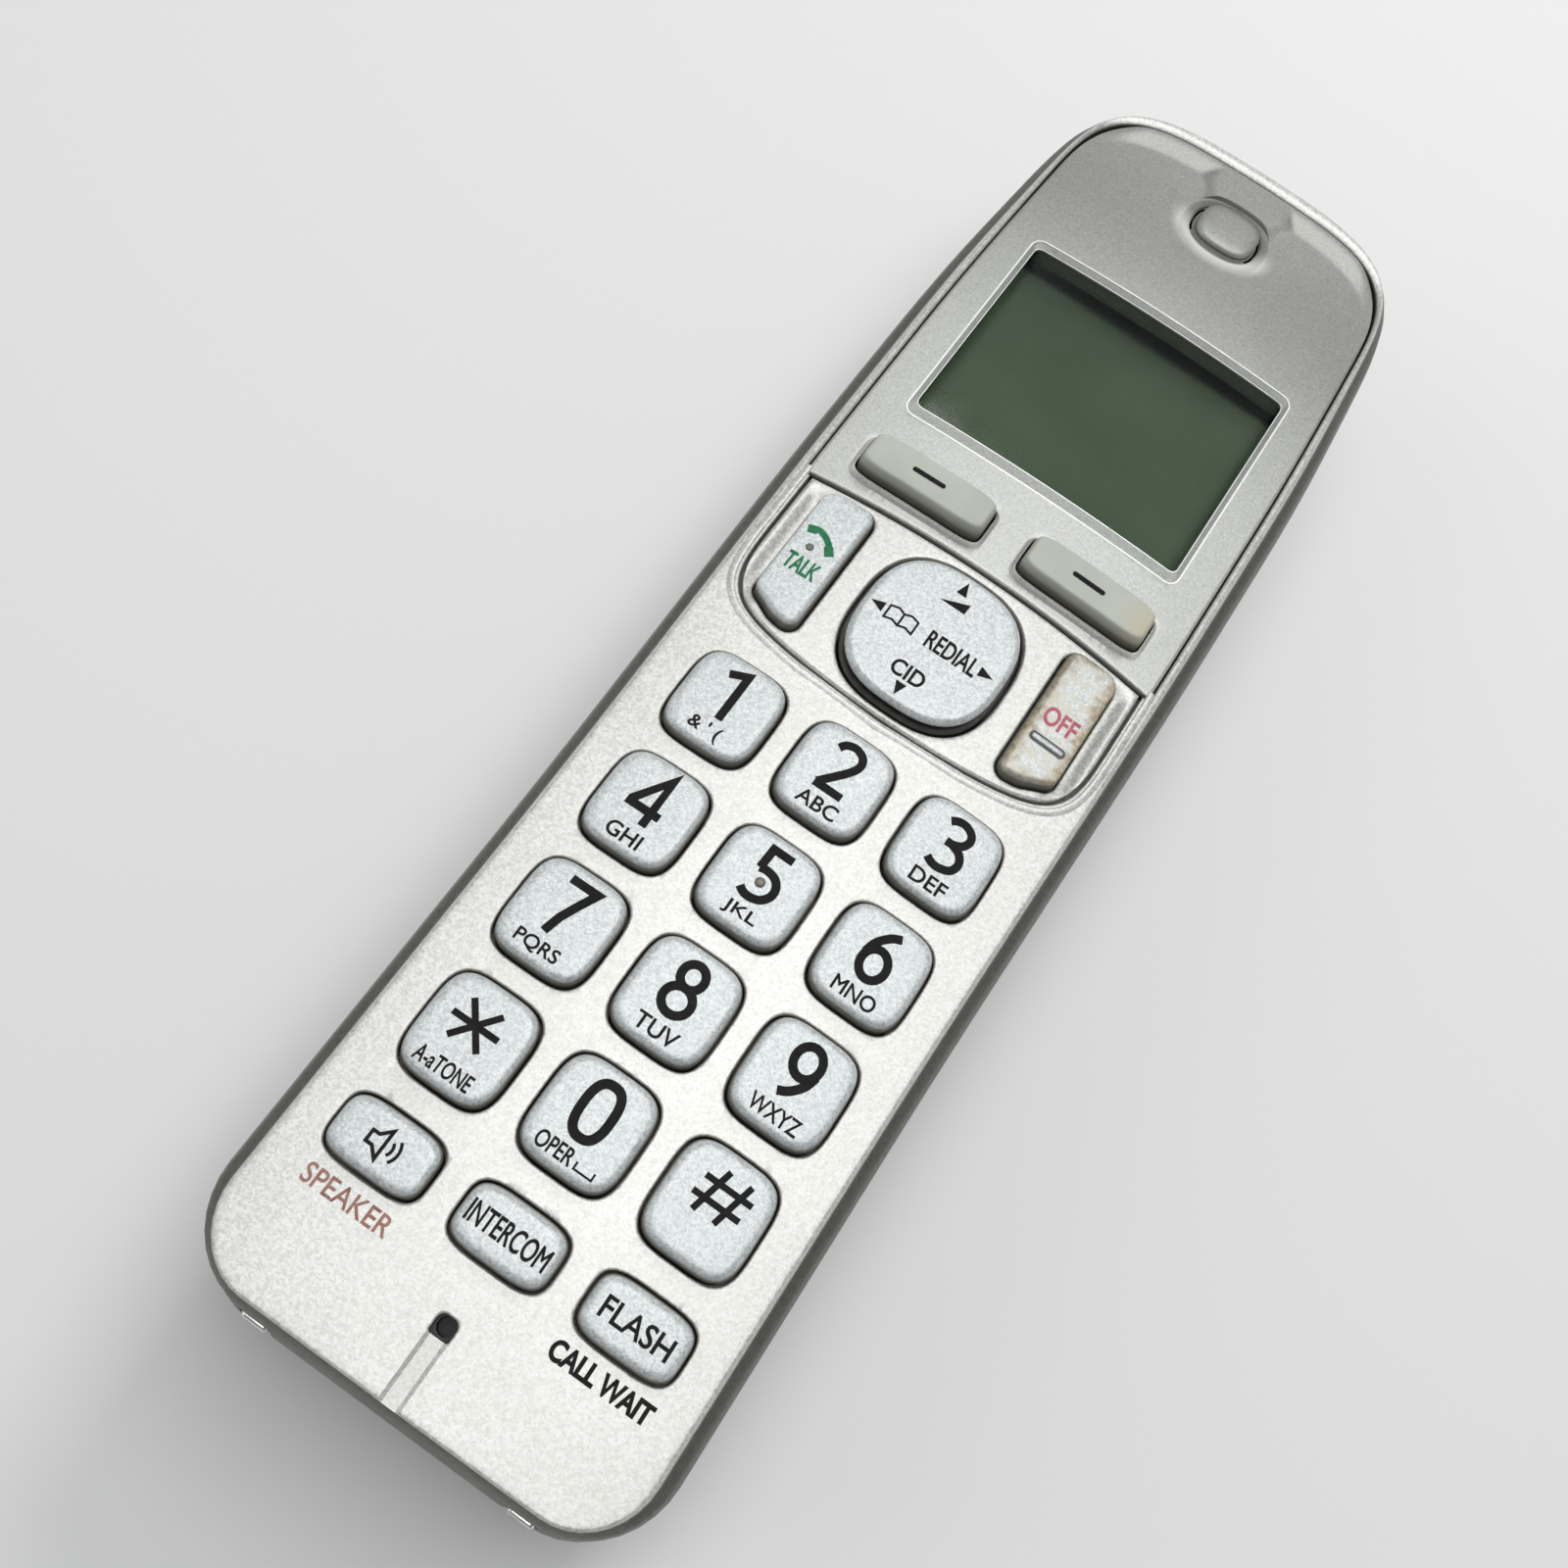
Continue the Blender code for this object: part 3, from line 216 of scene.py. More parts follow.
def panel_top_edge(x, grow=0.0):
    half_w, arch = PANEL_HALF_W + grow, PANEL_ARCH + grow
    share = max(0.0, 1 - abs(x / half_w) ** PANEL_POWER)
    return PANEL_TOP_Y + grow - arch + arch * share ** (1 / PANEL_POWER)


def parting_edge(x, middle_y):
    return middle_y - PANEL_SAG * x * x


def panel_outline(grow, count=24):
    half, low_y, high = PANEL_HALF_W + grow, PANEL_LOW_Y - grow, PANEL_TOP_Y - PANEL_ARCH
    low = parting_edge(half, low_y)
    points = arch(half, PANEL_TOP_Y + grow, PANEL_ARCH + grow, PANEL_POWER, 3 * count)
    points += [(-half, high + (low - high) * k / count) for k in range(1, count)]
    points += [(x, parting_edge(x, low_y)) for x in (-half + 2 * half * k / count for k in range(count + 1))]
    points += [(half, low + (high - low) * k / count) for k in range(1, count)]
    return [(x * breadth(y), y) for x, y in points]


def nav_low_edge(x, grow=0.0):
    half_w, depth = NAV_HALF_W + grow, NAV_MID_Y - NAV_LOW_Y + grow
    share = max(0.0, 1 - abs(x / half_w) ** NAV_POWER)
    return min(NAV_MID_Y, NAV_MID_Y - depth * share ** (1 / NAV_POWER) + NAV_SAG * x * x)


def nav_edge_points(grow, steps=60):
    """The navigation panel's U edge from its upper left end round to its upper right end."""
    half_w, depth = NAV_HALF_W + grow, NAV_MID_Y - NAV_LOW_Y + grow
    points = []
    for i in range(steps + 1):
        turn = math.pi + math.pi * i / steps
        x = half_w * signed_power(math.cos(turn), 2 / NAV_POWER)
        y = NAV_MID_Y + depth * signed_power(math.sin(turn), 2 / NAV_POWER)
        points.append((x, min(NAV_MID_Y, y + NAV_SAG * x * x)))
    return points


def nav_outline(half, count=120):
    return superellipse((0, NAV_Y), half, 2.7, count)


def soft_rectangle(x0, x1, y0, y1, radius, steps=8):
    return rounded_polygon(rectangle(x0, x1, y0, y1), [radius] * 4, steps)


def window_outline(grow):
    half_w, half_h = WINDOW_HALF_W + grow, WINDOW_HALF_H + grow
    outline = soft_rectangle(-half_w, half_w, WINDOW_MID_Y - half_h, WINDOW_MID_Y + half_h, 0.8 + 0.6 * grow)
    return resampled(outline, WINDOW_STEPS)


def bevel_outline(share):
    """From the window's edge at 0 to the outer edge of the slope round it at 1."""
    side, low, high = WINDOW_HALF_W + 0.65 * share, WINDOW_LOW_Y - 1.75 * share, WINDOW_TOP_Y + 0.8 * share
    return resampled(soft_rectangle(-side, side, low, high, 0.8 + 0.45 * share), WINDOW_STEPS)


def dip(y):
    return DIP_DEPTH * smooth(DIP_FROM_Y, DIP_TO_Y, y)


def panel_z(x, y):
    """The display panel dips towards the earpiece, apart from a strip along its arched edge and a brow."""
    away = max(0.0, panel_top_edge(x / breadth(y)) - y)
    strip = (1 - smooth(0.5, 3.1, away)) * (1 - smooth(15.0, 19.5, abs(x)))
    half = 3.7 + 1.6 * smooth(77.4, 80.6, y)
    brow = (1 - smooth(half - 0.7, half + 1.7, abs(x))) * smooth(75.8, 77.4, y)
    return face_z(x) - dip(y) + max(strip, brow) * max(0.0, dip(y) - 0.12)


def nav_panel_z(x, y):
    """The navigation panel is dished beside each call key for the finger."""
    beside = smooth(17.4, 18.3, abs(x)) * (1 - smooth(19.2, 20.7, abs(x)))
    along = smooth(-4.6, 1.5, y) * (1 - smooth(10.8, 13.4, y))
    return face_z(x) - 0.85 * beside * along


# ---------------------------------------------------------------- building blocks
def stand(bm, name="work"):
    """Puts a finished bmesh in the scene as an object."""
    mesh = bpy.data.meshes.new(name)
    bm.to_mesh(mesh)
    bm.free()
    obj = bpy.data.objects.new(name, mesh)
    bpy.context.scene.collection.objects.link(obj)
    return obj


def add_loft(bm, loops, ring=False):
    """A skin over the loops, closed by a face at each end or, as a ring, by joining its ends."""
    rings = [[bm.verts.new(p) for p in loop] for loop in loops]
    pairs = list(zip(rings, rings[1:])) + ([(rings[-1], rings[0])] if ring else [])
    for low, high in pairs:
        for i in range(len(low)):
            j = (i + 1) % len(low)
            bm.faces.new((low[i], low[j], high[j], high[i]))
    if not ring:
        bm.faces.new(rings[0][::-1])
        bm.faces.new(rings[-1])


def lofts(*stacks):
    """One object, in millimetres, that holds a closed loft for each stack of loops."""
    bm = bmesh.new()
    for loops in stacks:
        add_loft(bm, loops)
    bmesh.ops.recalc_face_normals(bm, faces=bm.faces)
    bmesh.ops.triangulate(bm, faces=bm.faces)
    return stand(bm)


def at_height(outline, z):
    return [(x, y, z) for x, y in outline]


def column(outline, z0, z1):
    return [at_height(outline, z0), at_height(outline, z1)]


def pair(outline_of, z0, z1):
    """A column on each side of the middle, from an outline that is a function of the side."""
    return lofts(*[column(outline_of(side), z0, z1) for side in (-1, 1)])


def screw_pair(radius, z0, z1):
    return pair(lambda side: circle((side * SCREW_X, SCREW_Y), radius), z0, z1)


def strip_beside(side, inner, outer, y0, y1):
    """A rectangle on one side of the middle, between two distances from it."""
    return rectangle(*sorted((side * inner, side * outer)), y0, y1)


def block(x0, x1, y0, y1, z0, z1):
    return lofts(column(rectangle(x0, x1, y0, y1), z0, z1))


def under_face(outline, below, surface=face_z):
    return [(x, y, surface(x, y) - below) for x, y in outline]


def stations(low, high, count, edge=()):
    """Evenly spaced values with a few more close to each end."""
    inner = [low + (high - low) * i / count for i in range(count + 1)]
    close = [low + e for e in edge] + [high - e for e in edge]
    return sorted(set(round(v, 5) for v in inner + close))


def plate(xs, low_y, high_y, top, bottom, shares, widen=lambda y: 1.0):
    """A plate as a stack of cross sections along x, with its faces given as functions of (x, y)."""
    loops = []
    for x in xs:
        y0, y1 = low_y(x), high_y(x)
        line = [(x * widen(y), y) for y in (y0 + (y1 - y0) * s for s in shares)]
        loops.append([(u, v, bottom(u, v)) for u, v in line] + [(u, v, top(u, v)) for u, v in line[::-1]])
    return lofts(loops)


def turned_stack(centre, profile, count=40, along_y=False):
    """A turned part's loops, from pairs of (radius, distance along its axis, which is z or y)."""
    cx, cy, cz = centre
    loops = []
    for radius, along in profile:
        ring = circle((0, 0), radius, count)
        if along_y:
            loops.append([(cx + u, cy + along, cz + v) for u, v in ring])
        else:
            loops.append([(cx + u, cy + v, cz + along) for u, v in ring])
    return loops


def combine(target, other, operation="DIFFERENCE", solver="EXACT"):
    """Cuts or joins now, and removes the helper."""
    modifier = target.modifiers.new("work", "BOOLEAN")
    modifier.operation = operation
    modifier.solver = solver
    modifier.object = other
    graph = bpy.context.evaluated_depsgraph_get()
    made = bpy.data.meshes.new_from_object(target.evaluated_get(graph))
    target.modifiers.clear()
    target.data = made
    bpy.data.objects.remove(other)
    return target


def cut(target, *stacks):
    combine(target, lofts(*stacks))


def new_piece(name, work, finish, body, nodes=(), sharp=32.0, weighted=True):
    """Names a worked object, turns it into metres, shades it and puts it on its body."""
    bm = bmesh.new()
    bm.from_mesh(work.data)
    bmesh.ops.remove_doubles(bm, verts=bm.verts, dist=0.0008)
    bmesh.ops.dissolve_degenerate(bm, edges=bm.edges, dist=0.0005)
    bmesh.ops.recalc_face_normals(bm, faces=bm.faces)
    bmesh.ops.scale(bm, vec=(MM, MM, MM), verts=bm.verts)
    bpy.data.objects.remove(work)
    obj = stand(bm, name)
    obj.data.shade_smooth()
    obj.data.set_sharp_from_angle(angle=math.radians(sharp))
    obj.data.materials.append(finish)
    if weighted:
        modifier = obj.modifiers.new("normals", "WEIGHTED_NORMAL")
        modifier.keep_sharp = True
        modifier.weight = 100
    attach(obj, body)
    if nodes:
        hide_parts(*nodes)
    return obj


# ---------------------------------------------------------------- materials
# The height of the finest grain, in metres like every length that Blender itself is given.
FINE_BUMP = 0.02 * MM


class Nodes:
    """Short names for the nodes that the finishes are made of."""

    def __init__(self, name):
        self.material = bpy.data.materials.new(name)
        self.material.use_nodes = True
        self.tree = self.material.node_tree
        self.shader = self.tree.nodes["Principled BSDF"]
        self.place = self.tree.nodes.new("ShaderNodeTexCoord").outputs["Object"]

    def new(self, kind):
        return self.tree.nodes.new("ShaderNode" + kind)

    def link(self, a, b):
        self.tree.links.new(a, b)

    def fill(self, socket, value):
        """Links a socket or sets a number or a colour."""
        if isinstance(value, bpy.types.NodeSocket):
            self.link(value, socket)
        elif hasattr(value, "__len__"):
            socket.default_value = (*value, 1)
        else:
            socket.default_value = value

    def set(self, **values):
        for key, value in values.items():
            self.fill(self.shader.inputs[key.replace("_", " ")], value)

    def noise(self, scale, detail=2.0, rough=0.5):
        node = self.new("TexNoise")
        self.link(self.place, node.inputs["Vector"])
        for key, value in (("Scale", scale), ("Detail", detail), ("Roughness", rough)):
            self.fill(node.inputs[key], value)
        return node.outputs["Fac"]

    def flakes(self, scale):
        node, split = self.new("TexVoronoi"), self.new("SeparateColor")
        self.fill(node.inputs["Scale"], scale)
        self.link(self.place, node.inputs["Vector"])
        self.link(node.outputs["Color"], split.inputs[0])
        return split.outputs[0]

    def ramp(self, value, low, high):
        """A colour or a number between two stops, each given as (position, value)."""
        node = self.new("ValToRGB")
        self.link(value, node.inputs["Fac"])
        for element, (at, colour) in zip(node.color_ramp.elements, (low, high)):
            element.position = at
            element.color = (*colour, 1) if hasattr(colour, "__len__") else (colour, colour, colour, 1)
        return node.outputs["Color"]

    def math(self, operation, *values):
        node = self.new("Math")
        node.operation = operation
        for socket, value in zip(node.inputs, values):
            self.fill(socket, value)
        return node.outputs[0]

    def add(self, a, b):
        return self.math("ADD", a, b)

    def less(self, a, b):
        return self.math("SUBTRACT", a, b)

    def times(self, a, b):
        return self.math("MULTIPLY", a, b)

    def length(self, a, b):
        return self.math("SQRT", self.add(self.times(a, a), self.times(b, b)))

    def mix(self, share, a, b, kind="MIX"):
        node = self.new("Mix")
        node.data_type = "RGBA"
        node.blend_type = kind
        for index, value in ((0, share), (6, a), (7, b)):
            self.fill(node.inputs[index], value)
        return node.outputs[2]

    def range(self, value, low, high, out_low=0.0, out_high=1.0):
        """A smooth step from one number to another."""
        node = self.new("MapRange")
        node.interpolation_type = "SMOOTHSTEP"
        self.link(value, node.inputs["Value"])
        for key, number in (("From Min", low), ("From Max", high), ("To Min", out_low), ("To Max", out_high)):
            node.inputs[key].default_value = number
        return node.outputs["Result"]

    def axis(self, index):
        """A point's x, y or z in millimetres."""
        node = self.new("SeparateXYZ")
        self.link(self.place, node.inputs[0])
        return self.times(node.outputs[index], 1 / MM)

    def depth(self, top=FACE_Z):
        """How far a point lies below the crowned surface whose middle line is at top, in millimetres."""
        x = self.axis(0)
        sag = self.math("DIVIDE", self.times(x, x), 2 * CROWN_R)
        return self.less(self.less(top, sag), self.axis(2))

    def bump(self, height, strength, distance=FINE_BUMP):
        node = self.new("Bump")
        for key, value in (("Strength", strength), ("Distance", distance), ("Height", height)):
            self.fill(node.inputs[key], value)
        self.link(node.outputs["Normal"], self.shader.inputs["Normal"])


def grain(n, dark, light, scale, contrast=1.0):
    """Metal flake in paint: a soft mottle, with single flakes lighter or darker than it."""
    mottle = n.noise(scale, 3.0, 0.65)
    both = n.add(n.times(mottle, 0.62), n.times(n.flakes(scale * 2.2), 0.38))
    half = 0.22 / contrast
    return n.ramp(both, (0.5 - half, dark), (0.5 + half, light)), both


def silver_paint(name="silver_paint", wall_from=0.30, wall_to=0.85):
    """Silver on the face, with painted shade: darker on the walls that lie further below it."""
    n = Nodes(name)
    top, height = grain(n, (0.46, 0.46, 0.428), (0.72, 0.72, 0.685), 2100.0)
    # Painted shade: a dark olive for the side walls and the walls of the openings, which lie below the face.
    side = n.ramp(n.noise(1500.0, 3.0), (0.3, (0.070, 0.066, 0.052)), (0.7, (0.105, 0.10, 0.082)))
    colour = n.mix(n.range(n.depth(), wall_from, wall_to), top, side)
    wear = n.ramp(n.noise(55.0, 4.0, 0.6), (0.35, 0.94), (0.65, 1.0))
    n.set(Base_Color=n.mix(1.0, colour, wear, "MULTIPLY"), Metallic=0.45,
          Roughness=n.ramp(height, (0.3, 0.36), (0.7, 0.50)))
    n.bump(height, 0.35)
    return n.material


def panel_silver():
    """Finer flake than the shell's, with painted shade (walls below the face turn dark, and the panel darkens
    towards the earpiece end) and a painted highlight below the ear recess; the dip towards the earpiece
    doesn't count as depth below the face.
    """
    n = Nodes("panel_silver")
    top, height = grain(n, (0.40, 0.405, 0.38), (0.57, 0.575, 0.545), 3200.0, 0.9)
    along = n.axis(1)
    below = n.less(n.depth(), n.range(along, DIP_FROM_Y, DIP_TO_Y, 0.0, DIP_DEPTH))
    # Painted shade: the walls that lie further below the face turn dark.
    colour = n.mix(n.range(below, 0.50, 1.0), top, (0.075, 0.070, 0.050))
    # Painted shade: the panel darkens towards the earpiece end.
    shade = n.mix(n.range(along, 34.0, 72.0), (1.0, 1.0, 1.0), (0.66, 0.66, 0.65))
    colour = n.mix(1.0, colour, shade, "MULTIPLY")
    # A painted highlight: the slope on the lower side of the ear recess is painted lighter, as if it caught
    # the light.
    reach = n.length(n.axis(0), n.times(n.less(along, EAR_Y - 0.6), 1.25))
    painted_ear_highlight = n.times(n.range(reach, 4.1, 4.7), n.range(reach, 4.9, 7.6, 1.0, 0.0))
    painted_ear_highlight = n.times(painted_ear_highlight, n.range(along, EAR_Y - 3.0, EAR_Y + 1.2, 1.0, 0.0))
    n.set(Base_Color=n.mix(painted_ear_highlight, colour, (0.86, 0.86, 0.83)), Metallic=0.55,
          Roughness=n.ramp(height, (0.3, 0.42), (0.7, 0.50)))
    n.bump(height, 0.25)
    return n.material


def key_silver(name="key_silver", stain=None, side_low=(0.10, 0.098, 0.078), side_high=(0.17, 0.166, 0.138),
               edge=(0.28, 0.75)):
    """Speckled silver on a key's top; its sides, which begin within the depths of edge, are darker with
    painted shade.
    """
    n = Nodes(name)
    top, height = grain(n, (0.37, 0.392, 0.39), (0.64, 0.67, 0.665), 2300.0)
    if stain:
        top = stain(n, top)
    # Painted shade: the key's sides are a dark olive.
    side = n.ramp(n.noise(1200.0), (0.3, side_low), (0.7, side_high))
    n.set(Base_Color=n.mix(n.range(n.depth(FACE_Z + KEY_PROUD), *edge), top, side), Metallic=0.3,
          Roughness=n.ramp(height, (0.3, 0.38), (0.7, 0.5)))
    n.bump(height, 0.35)
    return n.material


def patch(n, x0, y0, radius, low, high, scale=700.0):
    """A stain: strongest at one place, with a broken edge."""
    share = n.range(n.length(n.less(n.axis(0), x0), n.less(n.axis(1), y0)), radius, 0.0)
    return n.range(n.add(n.times(share, 0.6), n.times(n.noise(scale, 4.0, 0.65), 0.5)), low, high)


def off_key_stain(n, top):
    """Worn brown along the key's edges, with a broken border."""
    across, along = (n.less(half, n.math("ABSOLUTE", n.less(n.axis(index), middle)))
                     for index, middle, half in ((0, TALK_X, 3.1), (1, TALK_Y, 8.5)))
    broken = n.times(n.less(n.noise(620.0, 5.0, 0.7), 0.5), 4.5)
    share = n.range(n.less(n.math("MINIMUM", across, along), broken), 2.0, -0.2)
    top = n.mix(n.range(n.noise(900.0, 4.0, 0.7), 0.38, 0.62, 0.0, 0.75), top, (0.50, 0.47, 0.39))
    brown = n.ramp(n.noise(1500.0, 3.0), (0.35, (0.19, 0.145, 0.085)), (0.65, (0.44, 0.37, 0.26)))
    return n.mix(share, top, brown)


def key_3_stain(n, top):
    for x0, y0, radius in ((8.6, -9.9, 2.4), (17.9, -20.2, 1.8)):
        top = n.mix(patch(n, x0, y0, radius, 0.5, 0.9), top, (0.40, 0.29, 0.19))
    return top


def soft_key_grey(name="soft_key_grey", stained=False):
    n = Nodes(name)
    colour = n.mix(n.range(n.noise(130.0), 0.35, 0.65), (0.345, 0.360, 0.315), (0.385, 0.40, 0.352))
    if stained:
        colour = n.mix(patch(n, 17.6, 19.4, 6.0, 0.36, 1.15, 260.0), colour, (0.42, 0.355, 0.24))
        colour = n.mix(patch(n, 18.4, 18.2, 1.8, 0.5, 1.1, 500.0), colour, (0.43, 0.39, 0.31))
    # Painted shade: the key's sides, below its top, turn dark.
    side = n.range(n.depth(FACE_Z + SOFT_PROUD), 0.6, 1.6)
    n.set(Base_Color=n.mix(side, colour, (0.11, 0.10, 0.07)), Roughness=0.52)
    n.bump(n.noise(2600.0, 3.0, 0.6), 0.25)
    return n.material


def plain(name, dark, light, scale, roughness, metallic=0.0, bump=0.2, height=FINE_BUMP, coat=0.0,
          specular=0.5):
    """A moulded, plated or sprayed surface with its own grain."""
    n = Nodes(name)
    fine = n.noise(scale, 3.0, 0.6)
    n.set(Base_Color=n.ramp(fine, (0.32, dark), (0.68, light)), Metallic=metallic, Coat_Weight=coat,
          Specular_IOR_Level=specular,
          Roughness=n.ramp(n.noise(scale * 0.3), (0.3, roughness - 0.05), (0.7, roughness + 0.06)))
    n.bump(fine, bump, height)
    return n.material


def ink(name, dark, light, scale=1800.0, roughness=0.65):
    return plain(name, dark, light, scale, roughness, specular=0.2)


def lens_material():
    """Clear plastic: what lies behind it shows through, with a faint gloss."""
    n = Nodes("lens_clear")
    kinds = ("BsdfTransparent", "BsdfGlossy", "Fresnel", "MixShader")
    clear, gloss, fresnel, mixed = (n.new(kind) for kind in kinds)
    n.fill(clear.inputs["Color"], (0.80, 0.84, 0.79))
    n.fill(gloss.inputs["Roughness"], n.range(n.noise(260.0, 3.0), 0.3, 0.7, 0.04, 0.10))
    n.fill(fresnel.inputs["IOR"], 1.45)
    for index, source in enumerate((n.times(fresnel.outputs[0], 0.5), clear.outputs[0], gloss.outputs[0])):
        n.link(source, mixed.inputs[index])
    out = next(node for node in n.tree.nodes if node.type == "OUTPUT_MATERIAL")
    n.link(mixed.outputs[0], out.inputs["Surface"])
    n.tree.nodes.remove(n.shader)
    return n.material


def lcd_material():
    """The grey-green film, with a painted shadow along its upper edge, where the window's upper wall would
    shade it.
    """
    n = Nodes("lcd_film")
    both = n.add(n.times(n.noise(90.0), 0.6), n.times(n.noise(5200.0), 0.4))
    film = n.ramp(both, (0.35, (0.098, 0.122, 0.086)), (0.65, (0.128, 0.154, 0.112)))
    # Painted shadow: near black along the film's upper edge, fading out over about a millimetre below it.
    top_shadow = n.range(n.axis(1), LCD_SHADOW_Y - 1.0, LCD_SHADOW_Y + 0.15)
    n.set(Base_Color=n.mix(top_shadow, film, (0.012, 0.014, 0.012)), Roughness=0.45, Coat_Weight=0.15)
    return n.material


def board_material():
    n = Nodes("board_mask")
    lines = n.flakes(900.0)
    n.set(Base_Color=n.ramp(lines, (0.3, (0.012, 0.10, 0.045)), (0.7, (0.02, 0.16, 0.075))), Roughness=0.35)
    n.bump(lines, 0.2)
    return n.material


M = {
    "silver_paint": silver_paint(),
    "nav_paint": silver_paint("nav_paint", 1.05, 1.35),
    "panel_silver": panel_silver(),
    "key_silver": key_silver(),
    # The navigation key's sides get the same painted shade, in a lighter olive.
    "nav_silver": key_silver("nav_silver", None, (0.15, 0.15, 0.125), (0.25, 0.25, 0.215), (0.45, 0.85)),
    "off_key_silver": key_silver("off_key_silver", off_key_stain),
    "key_3_silver": key_silver("key_3_silver", key_3_stain),
    "soft_key_grey": soft_key_grey(),
    "soft_key_stained": soft_key_grey("soft_key_stained", True),
    # Painted highlight: near-white paint for the thin lines round the window.
    "painted_highlight_edge": plain("painted_highlight_edge", (0.74, 0.75, 0.72), (0.84, 0.85, 0.82), 1400.0, 0.35, 0.4),
    "rear_grey": plain("rear_grey", (0.135, 0.127, 0.104), (0.20, 0.19, 0.16), 1500.0, 0.46, 0.35, 0.35,
                       1.5 * FINE_BUMP),
    "lens": lens_material(),
    "lcd": lcd_material(),
    "black_plastic": plain("black_plastic", (0.010, 0.010, 0.010), (0.028, 0.028, 0.026), 900.0, 0.45),
    "carrier_plastic": plain("carrier_plastic", (0.030, 0.030, 0.026), (0.055, 0.054, 0.048), 900.0, 0.4),
    "white_plastic": plain("white_plastic", (0.62, 0.62, 0.58), (0.74, 0.74, 0.70), 600.0, 0.5),
    "rubber": plain("silicone_rubber", (0.22, 0.22, 0.23), (0.34, 0.34, 0.35), 500.0, 0.7),
    "board": board_material(),
    "tin": plain("tin_plate", (0.55, 0.55, 0.54), (0.74, 0.74, 0.72), 420.0, 0.28, 1.0),
    "steel": plain("steel", (0.42, 0.42, 0.41), (0.60, 0.60, 0.58), 700.0, 0.3, 1.0),
    "contact_plating": plain("contact_plating", (0.80, 0.79, 0.74), (0.92, 0.91, 0.87), 800.0, 0.22, 1.0),
    "cell": plain("cell_sleeve", (0.02, 0.14, 0.07), (0.035, 0.21, 0.11), 160.0, 0.3, bump=0.1, coat=0.3),
    "ink_black": ink("ink_black", (0.004, 0.004, 0.004), (0.010, 0.010, 0.010), roughness=0.7),
    "ink_green": ink("ink_green", (0.012, 0.115, 0.048), (0.03, 0.17, 0.075)),
    "ink_red": ink("ink_red", (0.34, 0.085, 0.115), (0.44, 0.13, 0.165)),
    "ink_brown": ink("ink_brown", (0.20, 0.09, 0.07), (0.34, 0.19, 0.15), 900.0),
}


# ---------------------------------------------------------------- places
def key_places():
    places = []
    for row, names in enumerate(DIAL_KEYS):
        for line, name in enumerate(names):
            places.append((name, ((line - 1) * PITCH_X, ROW_1_Y - row * PITCH_Y), DIAL_HALF))
    for line, name in enumerate(FUNCTION_KEYS):
        places.append((name, ((line - 1) * FUNCTION_PITCH_X, FUNCTION_ROW_Y), FUNCTION_HALF))
    return places


def grown(half, by):
    return half[0] + by, half[1] + by


# Rounded rim of an opening, as pairs of (how far the outline has grown, how far below the face).
RIM = ((0.0, 0.26), (0.03, 0.14), (0.10, 0.05), (0.22, 0.0), (0.26, -0.03), (0.26, -3.0))
POCKET_RIM = ((0.0, 0.40), (0.03, 0.28), (0.11, 0.14), (0.20, 0.03), (0.27, -0.02), (0.27, -3.0))


def opening(outline_of, gap, deep, surface=face_z, rim=RIM):
    """A cutter that goes straight down to a depth below the face and has a rounded rim."""
    levels = [under_face(outline_of(gap), deep, surface)]
    levels += [under_face(outline_of(gap + by), below, surface) for by, below in rim]
    return levels


# ---------------------------------------------------------------- casing
def pocket_outline(grow):
    """The display panel's pocket, whose rim opens into a broad slope at the arched end."""
    made = []
    for (x0, y0), (x1, y1) in zip(panel_outline(0.0), panel_outline(1.0)):
        reach = PANEL_GAP + grow * (1 + 2.0 * smooth(76, 82, y0))
        made.append((x0 + (x1 - x0) * reach, y0 + (y1 - y0) * reach))
    return made


def nav_pocket_outline(grow):
    points = nav_edge_points(grow)
    return points + [(points[-1][0], 15.5), (points[0][0], 15.5)]


def mic_outline(grow):
    half, low, high = MIC_HALF_W + grow, MIC_Y - 1.1 - grow, MIC_Y + 0.9 + grow
    return rounded_polygon(rectangle(-half, half, low, high), [0.3, 0.75, 0.75, 0.3])


def cut_front_holes(shell):
    """Openings for the keys, the window, the earpiece and the microphone, and the microphone's groove."""
    holes = [opening(lambda grow, c=centre, h=half: superellipse(c, grown(h, grow)), KEY_GAP, HOLE_DEEP)
             for _, centre, half in key_places()]
    outlines = [talk_outline(side, KEY_GAP) for side in (-1, 1)]
    outlines += [rectangle(-19.6, 19.6, 16.1, 23.1), nav_outline(NAV_HOLE), window_outline(1.4),
                 superellipse((0, EAR_Y), (5.6, 4.3), 2.6)]
    cut(shell, *holes, *[column(outline, CUT_LOW_Z, CUT_TOP_Z) for outline in outlines])
    cut(shell, opening(mic_outline, 0.0, HOLE_DEEP))
    side = ((0.72, 0.42), (0.98, 0.14), (1.12, 0.0), (1.2, -0.05), (1.2, -3.0))
    section = [(-0.72, 0.42), *side, *[(-x, below) for x, below in side[:0:-1]]]
    cut(shell, [[(x, y, FACE_Z - below) for x, below in section] for y in (-90.0, MIC_Y - 0.6)])


